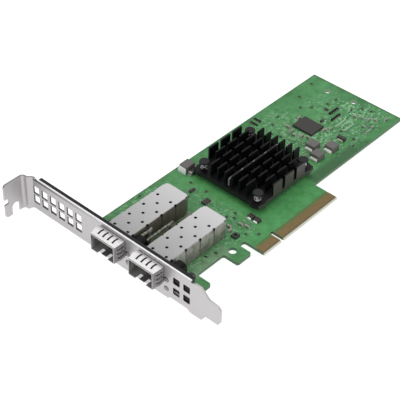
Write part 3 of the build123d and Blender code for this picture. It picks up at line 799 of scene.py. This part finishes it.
def pick_faces(piece, test):
    """In edit mode, selects the faces whose middle, in millimetres, and normal pass a test."""
    bpy.ops.mesh.select_mode(type="FACE")
    bpy.ops.mesh.select_all(action="DESELECT")
    mesh = bmesh.from_edit_mesh(piece.data)
    for face in mesh.faces:
        face.select_set(bool(test(face.calc_center_median() / MM, face.normal)))
    bmesh.update_edit_mesh(piece.data)


def extrude(x, y, z):
    """Extrudes what is selected by a step in millimetres."""
    bpy.ops.mesh.extrude_region_move(TRANSFORM_OT_translate={"value": Vector((x, y, z)) * MM})


def taper(piece, way, share, middle, step=None):
    """Scales the faces that look one way about a middle, then moves them a step; both in millimetres."""
    bpy.ops.object.mode_set(mode="EDIT")
    pick_faces(piece, lambda found, normal: normal.dot(Vector(way)) > 0.9)
    bpy.ops.transform.resize(value=share, center_override=Vector(middle) * MM)
    if step:
        bpy.ops.transform.translate(value=Vector(step) * MM)
    bpy.ops.object.mode_set(mode="OBJECT")
    return piece


print("helpers that shape a piece ready")

# %% [markdown]
# These finish a piece: one applies a modifier, one rounds edges and evens the
# shading next to them, and one closes a tube's ends and turns its faces out.

# %% Helpers that finish a piece
BEVEL_ANGLE, CREASE_ANGLE, TUBE_ANGLE = math.radians(40), math.radians(50), math.radians(60)
MERGE = 0.001 * MM


def apply_modifier(piece, kind, **settings):
    """Adds a modifier with its settings and applies it."""
    alone(piece)
    modifier = piece.modifiers.new("shape", kind)
    for name, value in settings.items():
        setattr(modifier, name, value)
    bpy.ops.object.modifier_apply(modifier=modifier.name)
    return piece


def soft_edges(piece, width, segments=2):
    """Rounds the sharp edges of a piece; width is in millimetres."""
    apply_modifier(
        piece,
        "BEVEL",
        width=width * MM,
        segments=segments,
        limit_method="ANGLE",
        angle_limit=BEVEL_ANGLE,
        use_clamp_overlap=False,
    )
    bpy.ops.object.shade_smooth_by_angle(angle=CREASE_ANGLE)
    return apply_modifier(piece, "WEIGHTED_NORMAL", weight=80, keep_sharp=True)


def close_up(piece, sides, finish):
    """Merges doubles, fills the open ends, turns the faces outwards and gives a finish."""
    edit_all()
    bpy.ops.mesh.remove_doubles(threshold=MERGE)
    bpy.ops.mesh.fill_holes(sides=sides)
    bpy.ops.mesh.normals_make_consistent(inside=False)
    bpy.ops.object.mode_set(mode="OBJECT")
    bpy.ops.object.shade_smooth_by_angle(angle=TUBE_ANGLE)
    piece.data.materials.append(finish)
    return piece


print("helpers that finish a piece ready")

# %% [markdown]
# These place what is finished: a copy has a mesh of its own, two rows of copies
# stand on both sides of a body, and joined copies ride on the card and stand
# for a node of the drawing.

# %% Helpers that place pieces


def copy_at(master, name, place, turn=0.0):
    """Copy with its own mesh, turned about Z and moved to a place in metres."""
    piece = bpy.data.objects.new(name, master.data.copy())
    scene.collection.objects.link(piece)
    piece.data.transform(Matrix.Translation(place) @ Matrix.Rotation(math.radians(turn), 4, "Z"))
    return piece


def drop(piece):
    """Deletes a master that has been copied."""
    bpy.data.objects.remove(piece)


def both_sides(master, count=1, pitch=0.0):
    """Row of copies along X on the master's side of a body, and the same row on the other side."""
    copies = []
    for index in range(count):
        place = Vector(((index - (count - 1) / 2) * pitch * MM, 0, 0))
        copies += [copy_at(master, "side_copy", place, turn) for turn in (0, 180)]
    drop(master)
    return copies


def joined(name, members):
    """Joins pieces into one."""
    alone(members[0])
    for member in members:
        member.select_set(True)
    bpy.ops.object.join()
    members[0].name = name
    return members[0]


def settle(piece, slot, *stood_for):
    """Makes a finished piece ride on the card and stand for CAD nodes."""
    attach(piece, "root")
    if stood_for:
        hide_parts(*stood_for)
    return piece


print("helpers that place pieces ready")

# %% [markdown]
# Small parts stand in groups, one solid each, in a node of the drawing. Their
# places are read from the solids: touching triangles belong to one solid, and
# its lowest and highest corners give its place, its size and which way it lies.

# %% Places of the solids in a node


def solids_in(node):
    """Middle of the foot, size in millimetres and turn of each solid in a node."""
    mesh = bmesh.new()
    mesh.from_mesh(nodes[node].data)
    bmesh.ops.remove_doubles(mesh, verts=mesh.verts, dist=MERGE)
    waiting = set(mesh.verts)
    found = []
    while waiting:
        reach = [waiting.pop()]
        corners = []
        while reach:
            vertex = reach.pop()
            corners.append(vertex.co.copy())
            for edge in vertex.link_edges:
                other = edge.other_vert(vertex)
                if other in waiting:
                    waiting.remove(other)
                    reach.append(other)
        low = Vector([min(corner[i] for corner in corners) for i in range(3)])
        high = Vector([max(corner[i] for corner in corners) for i in range(3)])
        foot = Vector(((low.x + high.x) / 2, (low.y + high.y) / 2, low.z))
        size = (high - low) / MM
        turn = 90 if size.y > size.x else 0
        found.append((foot, size, turn))
    mesh.free()
    return sorted(found, key=lambda solid: tuple(solid[0]))


SMALL_PARTS = [
    "management_chip", "memory_chip", "clock_chip", "signal_chips", "power_inductors",
    "filter_inductor", "ring_inductor", "bulk_capacitors", "tank_capacitor", "power_diodes",
    "resistor_networks", "edge_networks", "chip_capacitors", "chip_resistors",
]
standing = {node: solids_in(node) for node in SMALL_PARTS}
print("small parts:", {node: len(found) for node, found in standing.items()})

# %% [markdown]
# ## Softened solids
# A drawn solid has knife edges, and real ones never do: sheet is deburred,
# moulded plastic has a radius and cast parts are tumbled. The mesh of a solid
# arrives as loose triangles, so a copy is merged, flat triangles are dissolved
# into whole faces, and a Bevel modifier rounds what is left of its edges. The
# thin bright line that a rounded edge catches is what makes metal look real.

# %% Softened copies of the large solids


def softened(node, width):
    """Copy of a solid with rounded edges, which then stands for it."""
    piece = bpy.data.objects.new(f"{node}_soft", nodes[node].data.copy())
    scene.collection.objects.link(piece)
    alone(piece)
    edit_all()
    bpy.ops.mesh.remove_doubles(threshold=MERGE)
    bpy.ops.mesh.dissolve_limited(angle_limit=math.radians(0.5))
    bpy.ops.object.mode_set(mode="OBJECT")
    soft_edges(piece, width)
    return settle(piece, slot_of[node], node)


SOFT_WIDTHS = {
    "bracket": 0.1, "port_cage_left": 0.05, "port_cage_right": 0.05,
    "port_collar_left": 0.05, "port_collar_right": 0.05,
    "light_pipe_block_left": 0.25, "light_pipe_block_right": 0.25,
    "port_connector_left": 0.1, "port_connector_right": 0.1,
    "heat_sink": 0.12, "push_pins": 0.12, "light_lenses": 0.2, "bracket_gasket": 0.1,
    "management_chip": 0.08, "ring_inductor": 0.15,
}
soft = {node: softened(node, width) for node, width in SOFT_WIDTHS.items()}
print("softened:", {node: len(piece.data.polygons) for node, piece in soft.items()})

# %% [markdown]
# ## Springs of the push pins
# Each pin presses the heat sink down through a coil spring. A coil is a small
# ring that travels round and up at once, which is what the Screw modifier does.
# The drawing keeps a plain tube where the coil is, and the tube's box gives
# the coil its height and its outer radius.

# %% Coil springs
SPRING_WIRE, SPRING_TURNS, SPRING_SIDES, SPRING_STEPS = 0.5, 4, 8, 18
springs = solids_in("pin_springs")
spring_size = springs[0][1]
coil_radius = (spring_size.x - SPRING_WIRE) / 2
coil_pitch = (spring_size.z - SPRING_WIRE) / SPRING_TURNS
coil_start = Vector((coil_radius, 0, SPRING_WIRE / 2)) * MM
coil = ring("coil", SPRING_SIDES, SPRING_WIRE / 2, coil_start)
apply_modifier(
    coil,
    "SCREW",
    axis="Z",
    screw_offset=coil_pitch * MM,
    iterations=SPRING_TURNS,
    steps=SPRING_STEPS,
    render_steps=SPRING_STEPS,
)
close_up(coil, SPRING_SIDES, spring_steel)
coils = [copy_at(coil, "coil_copy", foot, 90 * i) for i, (foot, size, turn) in enumerate(springs)]
drop(coil)
settle(joined("pin_coils", coils), "spring_steel", "pin_springs")
print("coils:", len(springs), "turns each:", SPRING_TURNS)

# %% [markdown]
# ## Spring wire of the heat sink
# The wire rises from the base, turns, runs along the middle channel, turns
# again and goes down. A curve with a round bevel could make it, but a ring that
# is extruded along its straight runs and spun round its two bends keeps an even
# section all the way, as drawn wire has. The drawing's wire has six sides: its
# box shows the width over two corners along X, and over two flats along Y and Z.

# %% Heat sink wire
WIRE_BEND, WIRE_SIDES, FLAT_SHARE, WIRE_SHARE = 1.0, 12, 0.866, 0.95


def quarter_bend(way, center):
    """Spins the selected ring through a right angle about an axis along X."""
    bpy.ops.mesh.spin(steps=6, angle=math.pi / 2, axis=(way, 0, 0), center=center)


wire_low, wire_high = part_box("heat_sink_wire")
wire_x = (wire_low.x + wire_high.x) / 2
wire_radius = (wire_high.x - wire_low.x) / 2 / MM
flat = FLAT_SHARE * wire_radius * MM
wire_front, wire_back, wire_top = wire_low.y + flat, wire_high.y - flat, wire_high.z - flat
bend = WIRE_BEND * MM
rise = (wire_top - wire_low.z - bend) / MM
wire_start = (wire_x, wire_front, wire_low.z)
wire = ring("spring_wire", WIRE_SIDES, wire_radius * WIRE_SHARE, wire_start, tilt=0)
edit_all()
extrude(0, 0, rise)
quarter_bend(1, (wire_x, wire_front + bend, wire_top - bend))
extrude(0, (wire_back - wire_front) / MM - 2 * WIRE_BEND, 0)
quarter_bend(1, (wire_x, wire_back - bend, wire_top - bend))
extrude(0, 0, -rise)
close_up(wire, WIRE_SIDES, wire_steel)
settle(wire, "wire_steel", "heat_sink_wire")
print("wire box:", [round(v / MM, 2) for v in wire.dimensions])
print("drawn:", [round(v / MM, 2) for v in wire_high - wire_low])

# %% [markdown]
# ## Light guides
# The dark housing between the ports holds two clear rods that bring light from
# the board to the lenses in the bracket. Behind the housing a rod runs back,
# bends down and ends just above the board. It is made like the wire: a ring
# is extruded, spun through a quarter turn and extruded again.

# %% Light guides
GUIDE_BEND, GUIDE_RADIUS, GUIDE_SIDES, GUIDE_START, GUIDE_GAP = 1.6, 0.75, 16, 8.4, 0.4


def light_guide(x, height, reach):
    """Clear rod from the back of a housing to a light on the board."""
    rod = ring("rod", GUIDE_SIDES, GUIDE_RADIUS, card(x, GUIDE_START, height))
    edit_all()
    extrude(0, reach, 0)
    quarter_bend(-1, card(x, GUIDE_START + reach, height - GUIDE_BEND))
    extrude(0, 0, -(height - GUIDE_BEND - GUIDE_GAP))
    return close_up(rod, GUIDE_SIDES, guide_clear)


guides = [
    light_guide(PORT_X[0] + aside, height, reach)
    for aside, height, reach in ((8.6, 7.9, 7.0), (10.4, 5.4, 18.5))
]
guides = settle(joined("light_guides", guides), "lens_clear")
print("light guides box:", [round(v / MM, 2) for v in guides.dimensions])

# %% [markdown]
# ## Two-ended chips
# A chip capacitor is a ceramic brick whose two ends are dipped in metal, and
# solder climbs those ends from the board. One brick is modelled: it is cut near
# its ends, the end parts are swollen a hair and given the metal, and its edges
# are rounded. A tapered block at each end is the solder. Copies of the brick
# stand wherever the drawing has one, because modelling each would take long and
# make them no better.

# %% Two-ended chips
DIP_SWELL, DIP_EDGE = 0.03, 0.07
SOLDER_LONG, SOLDER_ASIDE, SOLDER_TALL, SOLDER_TOP = 0.5, 0.2, 0.45, (0.25, 0.8, 1)


def chip_master(size, end, body_finish, end_finish):
    """Brick with dipped ends and a ramp of solder at each end."""
    wide, deep, tall = size
    brick = block("brick", size, (0, 0, tall / 2), body_finish, end_finish)
    bpy.ops.object.mode_set(mode="EDIT")
    for side in (-1, 1):
        bpy.ops.mesh.select_all(action="SELECT")
        bpy.ops.mesh.bisect(plane_co=(side * (wide / 2 - end) * MM, 0, 0), plane_no=(1, 0, 0))
    pick_faces(brick, lambda middle, normal: abs(middle.x) > wide / 2 - end)
    brick.active_material_index = 1
    bpy.ops.object.material_slot_assign()
    bpy.ops.mesh.extrude_region_shrink_fatten(TRANSFORM_OT_shrink_fatten={"value": DIP_SWELL * MM})
    bpy.ops.object.mode_set(mode="OBJECT")
    soft_edges(brick, DIP_EDGE)
    top = tall * SOLDER_TALL
    ramp_size = (SOLDER_LONG, deep * 0.96, top)
    ramp = block("ramp", ramp_size, (wide / 2 + SOLDER_ASIDE, 0, top / 2), end_finish)
    taper(ramp, (0, 0, 1), SOLDER_TOP, (wide / 2, 0, top))
    soft_edges(ramp, 0.05, 1)
    return joined("chip_master", [brick, *both_sides(ramp)])


def lying(node):
    """Length, width and height of a node's solids, as they lie along X."""
    size = standing[node][0][1]
    return (max(size.x, size.y), min(size.x, size.y), size.z)


def stand(node, name, master, turned=True):
    """Copies of a master at the places of a node's solids, turned as these lie or not at all."""
    copies = [copy_at(master, name, foot, turn if turned else 0) for foot, size, turn in standing[node]]
    drop(master)
    return settle(joined(name, copies), slot_of[node], node)


for node, name, end, body_finish, end_finish in (
    ("chip_capacitors", "ceramic_chips", 0.42, capacitor_tan, solder_tin),
    ("chip_resistors", "resistor_chips", 0.32, resistor_film, pad_tin),
    ("bulk_capacitors", "bulk_bricks", 0.8, capacitor_dark, solder_tin),
):
    stand(node, name, chip_master(lying(node), end, body_finish, end_finish))
    print(name, "stand:", len(standing[node]))

# %% [markdown]
# ## Networks
# A resistor network is a longer brick with a row of small metal ends along
# both long sides. They could be painted on, but real ones stand proud and catch
# the light. So one end is a small block, copied along the sides.

# %% Networks
LEAD_WIDE, LEAD_DEEP, LEAD_TALL = 0.5, 0.42, 0.64


def network_master(size, count):
    """Dark bar with metal ends along both long sides."""
    wide, deep, tall = size
    bar = soft_edges(block("bar", size, (0, 0, tall / 2), resistor_dark), 0.08)
    pitch = wide / count
    lead_size = (pitch * LEAD_WIDE, LEAD_DEEP, tall * LEAD_TALL)
    lead = block("lead", lead_size, (0, deep / 2, lead_size[2] / 2), solder_tin)
    soft_edges(lead, 0.05, 1)
    return joined("network_master", [bar, *both_sides(lead, count, pitch)])


stand("resistor_networks", "network_bars", network_master(lying("resistor_networks"), 5))
stand("edge_networks", "edge_bars", network_master(lying("edge_networks"), 4))
print("networks:", len(standing["resistor_networks"]) + len(standing["edge_networks"]))

# %% [markdown]
# ## Chips with legs
# A small chip is a moulded black body on bent metal legs. A leg is a strip that
# leaves the body halfway up, bends down and ends in a flat foot on its pad. A
# swept curve would make its bends rounder than anyone can see at this size, so
# it is a thin block whose outer face is extruded down and out.

# %% Chips with legs
BODY_DEEP, BODY_TALL, BODY_TOP = 0.78, 0.85, (0.95, 0.93, 1)
LEG_WIDE, LEG_DEEP, LEG_TALL, LEG_FALL, LEG_FOOT = 0.45, 0.16, 0.14, 0.38, 0.3


def legged_master(size, count):
    """Moulded body, drafted towards its top, with legs along both long sides."""
    wide, deep, tall = size
    body_size = (wide, deep * BODY_DEEP, tall * BODY_TALL)
    body = block("body", body_size, (0, 0, tall - body_size[2] / 2), chip_black)
    soft_edges(taper(body, (0, 0, 1), BODY_TOP, (0, 0, tall)), 0.06)
    pitch = wide / count
    leg_size = (pitch * LEG_WIDE, LEG_DEEP, LEG_TALL)
    leg = block("leg", leg_size, (0, deep * 0.41, tall * 0.45), solder_tin)
    bpy.ops.object.mode_set(mode="EDIT")
    pick_faces(leg, lambda middle, normal: normal.y > 0.9)
    extrude(0, 0.1, -tall * LEG_FALL)
    extrude(0, LEG_FOOT, 0)
    bpy.ops.object.mode_set(mode="OBJECT")
    return joined("legged_master", [body, *both_sides(leg, count, pitch)])


for node, count in (("memory_chip", 4), ("clock_chip", 3), ("signal_chips", 3)):
    stand(node, f"{node}_legged", legged_master(lying(node), count))
    print(node, "legs on each side:", count)

# %% [markdown]
# ## Inductors, diodes and the tank capacitor
# A power inductor is a block of pressed grey powder that narrows a little to
# its top, because the press has to let go of it, with two flat copper feet
# folded under it and tinned bright. Diodes and the tank capacitor are lower
# dark bodies on the same kind of feet. So one helper makes them all: the top
# face of a block is scaled down, its edges are rounded, and each foot is a
# thin plate whose outer face is drawn out and down towards the board.

# %% Blocks with metal feet
BLOCK_TOP, PLATE_DEEP, PLATE_OUT, PLATE_END = (0.96, 0.96, 1), 0.3, (0, 0.5, 0), (1.25, 1, 0.55)


def footed_master(size, edge, finish, foot_wide, foot_tall, tin):
    """Block that narrows to its top, with a metal foot at both ends along Y."""
    wide, deep, tall = size
    body = block("body", size, (0, 0, tall / 2), finish)
    soft_edges(taper(body, (0, 0, 1), BLOCK_TOP, (0, 0, tall)), edge)
    plate_size = (wide * foot_wide, PLATE_DEEP, tall * foot_tall)
    plate = block("plate", plate_size, (0, deep / 2, plate_size[2] / 2), tin)
    taper(plate, (0, 1, 0), PLATE_END, (0, deep / 2, 0), PLATE_OUT)
    soft_edges(plate, 0.06, 1)
    return joined("footed_master", [body, *both_sides(plate)])


for node, name, edge, finish, foot_wide, foot_tall, tin in (
    ("power_inductors", "inductor_blocks", 0.35, inductor_grey, 0.7, 0.5, bright_tin),
    ("filter_inductor", "filter_block", 0.35, inductor_grey, 0.8, 0.85, bright_tin),
    ("tank_capacitor", "tank_brick", 0.15, capacitor_dark, 0.6, 0.4, pale_tin),
    ("power_diodes", "diode_blocks", 0.15, chip_black, 0.6, 0.6, bright_tin),
):
    size = tuple(standing[node][0][1])
    stand(node, name, footed_master(size, edge, finish, foot_wide, foot_tall, tin), turned=False)
    print(name, "stand:", len(standing[node]))

# %% [markdown]
# ## Screws
# The two screws have low heads with a cross recess. To extrude the cross inwards
# its outline would first have to be in the head's mesh, so a Boolean modifier
# cuts two crossed, tapered blades from the head instead.

# %% Screws
CROSS_SPAN, CROSS_BLADE, CROSS_DEPTH, CROSS_TAPER = 2.4, 0.55, 0.6, (0.6, 0.6, 1)


def cut_cross(piece, middle):
    """Cuts a cross recess into a head; middle is on its top face, in metres."""
    for wide, deep in ((CROSS_SPAN, CROSS_BLADE), (CROSS_BLADE, CROSS_SPAN)):
        cutter = block("blade", (wide, deep, CROSS_DEPTH * 2))
        taper(cutter, (0, 0, -1), CROSS_TAPER, (0, 0, -CROSS_DEPTH))
        cutter.data.transform(Matrix.Translation(middle))
        apply_modifier(piece, "BOOLEAN", operation="DIFFERENCE", solver="EXACT", object=cutter)
        drop(cutter)


screw_places = solids_in("bracket_screws")
screws = softened("bracket_screws", 0.15)
for foot, size, turn in screw_places:
    cut_cross(screws, foot + Vector((0, 0, size.z * MM)))
screws.data.materials.clear()
screws.data.materials.append(screw_steel)
print("screws:", len(screws.data.polygons), "faces")

# %% [markdown]
# ## Solder on the underside
# The legs of the cages come through the board. Solder gathers round each leg as
# a low cone with a hollow flank. A cone primitive has a straight one, so a disc
# is extruded in three narrowing steps. The legs stand in the middle of the
# cages' side walls, a fixed pitch apart.

# %% Solder cones
LEG_FIRST, LEG_PITCH, LEG_COUNT, HALF_WALL = 6.2, 7.8, 5, 0.175
CONE_SIDES, CONE_RADIUS, CONE_STEPS = 16, 1.0, ((0.12, 0.8), (0.25, 0.62), (0.35, 0.6))
cone = ring("cone", CONE_SIDES, CONE_RADIUS, (0, 0, 0), tilt=0, fill="NGON")
edit_all()
bpy.ops.mesh.select_mode(type="FACE")
for rise, share in CONE_STEPS:
    extrude(0, 0, -rise)
    bpy.ops.transform.resize(value=(share, share, 1), center_override=(0, 0, 0))
close_up(cone, CONE_SIDES, solder_tin)
joints = []
for cage in ("port_cage_left", "port_cage_right"):
    low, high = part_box(cage)
    for x in (low.x + HALF_WALL * MM, high.x - HALF_WALL * MM):
        for row in range(LEG_COUNT):
            y = DATUM.y + (LEG_FIRST + row * LEG_PITCH) * MM
            joints.append(copy_at(cone, "joint", Vector((x, y, board_low.z))))
drop(cone)
settle(joined("solder_cones", joints), "cage_steel")
print("solder cones:", len(joints))

# %% [markdown]
# ## Tinned pads
# A bare board is never plain: tinned pads wait for parts that this version
# lacks, and test points are small bright discs. They crowd where the photograph
# shows pale specks. Placed one by one they would fill a long table, so their
# places are seeded random draws, and a draw is left out where a part, a hole or
# an earlier pad is too near.

# %% What is taken on the board
HOLE_REACH = {"tooling_hole": 3.2, "rear_hole_left": 2.8, "rear_hole_right": 2.8}
SCREW_REACH, SMALL_MARGIN, LARGE_MARGIN = 3.2, 0.7, 0.5
LARGE_PARTS = [
    "heat_sink", "port_cage_left", "port_cage_right", "light_pipe_block_left", "light_pipe_block_right",
]
taken = []
for found in standing.values():
    for foot, size, turn in found:
        spot = from_datum(foot)
        taken.append((spot.x, spot.y, size.x / 2 + SMALL_MARGIN, size.y / 2 + SMALL_MARGIN))
for node in LARGE_PARTS:
    low, high = card_box(node)
    middle, size = (low + high) / 2, high - low
    taken.append((middle.x, middle.y, size.x / 2 + LARGE_MARGIN, size.y / 2 + LARGE_MARGIN))
for name, reach in HOLE_REACH.items():
    taken.append((hole_at[name].x, hole_at[name].y, reach, reach))
for foot, size, turn in screw_places:
    spot = from_datum(foot)
    taken.append((spot.x, spot.y, SCREW_REACH, SCREW_REACH))


def is_free(x, y, reach):
    """Whether a place on the board is clear of parts and holes."""
    return all(abs(x - a) > wide + reach or abs(y - b) > deep + reach for a, b, wide, deep in taken)


print("places taken:", len(taken))

# %% [markdown]
# A pad could be a patch of the board's colour, but a thin plate with rounded
# corners shines by itself. Two of them side by side wait for a chip, and a
# single round one is a test point.

# %% Tinned pads
PAD_TALL, PAD_ASIDE, PAD_CLEAR, PAD_REACH, DOT_SHARE = 0.035, 0.55, 1.2, 0.6, 0.35


def plate_master(size, corner, finish):
    """Thin plate with rounded corners, which stands on its lower face."""
    plate = block("plate", size, (0, 0, size[2] / 2), finish)
    bpy.ops.object.mode_set(mode="EDIT")
    bpy.ops.mesh.select_mode(type="EDGE")
    bpy.ops.mesh.select_all(action="DESELECT")
    mesh = bmesh.from_edit_mesh(plate.data)
    for edge in mesh.edges:
        run = (edge.verts[0].co - edge.verts[1].co).normalized()
        edge.select_set(abs(run.z) > 0.9)
    bmesh.update_edit_mesh(plate.data)
    bpy.ops.mesh.bevel(offset=corner * MM, segments=2)
    bpy.ops.object.mode_set(mode="OBJECT")
    return plate


random.seed(11)
CROWDS = [
    (-20, 8, 104, 111.5, 60, pale_tin), (-20, 2, 115, 124, 40, pale_tin), (-12, 4, 134, 150, 30, pad_tin),
    (0, 13, 124, 163, 70, pad_tin), (-30, -18, 108, 126, 20, pad_tin), (2, 21, 42, 57, 44, pad_tin),
    (-33, -29, 12, 48, 18, pad_tin), (-12, 0, 46, 58, 16, pad_tin), (16, 21, 14, 42, 18, pad_tin),
]
pads = []
for low_x, high_x, low_y, high_y, count, tin in CROWDS:
    pad = plate_master((0.7, 0.45, PAD_TALL), 0.12, tin)
    dot = plate_master((0.65, 0.65, PAD_TALL), 0.3, tin)
    for _ in range(count):
        x, y = random.uniform(low_x, high_x), random.uniform(low_y, high_y)
        turn = random.choice((0, 90))
        if not is_free(x, y, PAD_CLEAR):
            continue
        taken.append((x, y, PAD_REACH, PAD_REACH))
        if random.random() < DOT_SHARE:
            pads.append(copy_at(dot, "pad", card(x, y, 0)))
            continue
        step = Vector((PAD_ASIDE, 0, 0)) if turn == 0 else Vector((0, PAD_ASIDE, 0))
        for side in (-1, 1):
            pads.append(copy_at(pad, "pad", card(x, y, 0) + side * step * MM, turn + 90))
    drop(pad)
    drop(dot)
settle(joined("tinned_pads", pads), "cage_steel")
print("pads:", len(pads))

# %% [markdown]
# ## Printed marks
# Thin pale lines are printed beside the parts. Ink has hardly any height, but a
# very thin plate has sharper ends than a mask in the lacquer. The size of each
# kind of line comes first, and then its places.

# %% Printed marks
INK_TALL = 0.02
marks = []
for wide, deep, places in (
    (0.9, 8.0, [(0.9, 142.0), (6.0, 142.5)]),
    (3.0, 0.25, [(-8.7, 134.6), (-29.9, 58.9), (16.3, 55.6)]),
    (0.25, 3.0, [(-16.2, 128.4), (-1.6, 126.4), (-33.2, 63.2), (13.2, 109.0)]),
):
    line = plate_master((wide, deep, INK_TALL), min(wide, deep) * 0.3, print_white)
    marks += [copy_at(line, "mark", card(x, y, 0)) for x, y in places]
    drop(line)
settle(joined("printed_marks", marks), "board_green")
print("printed marks:", len(marks))
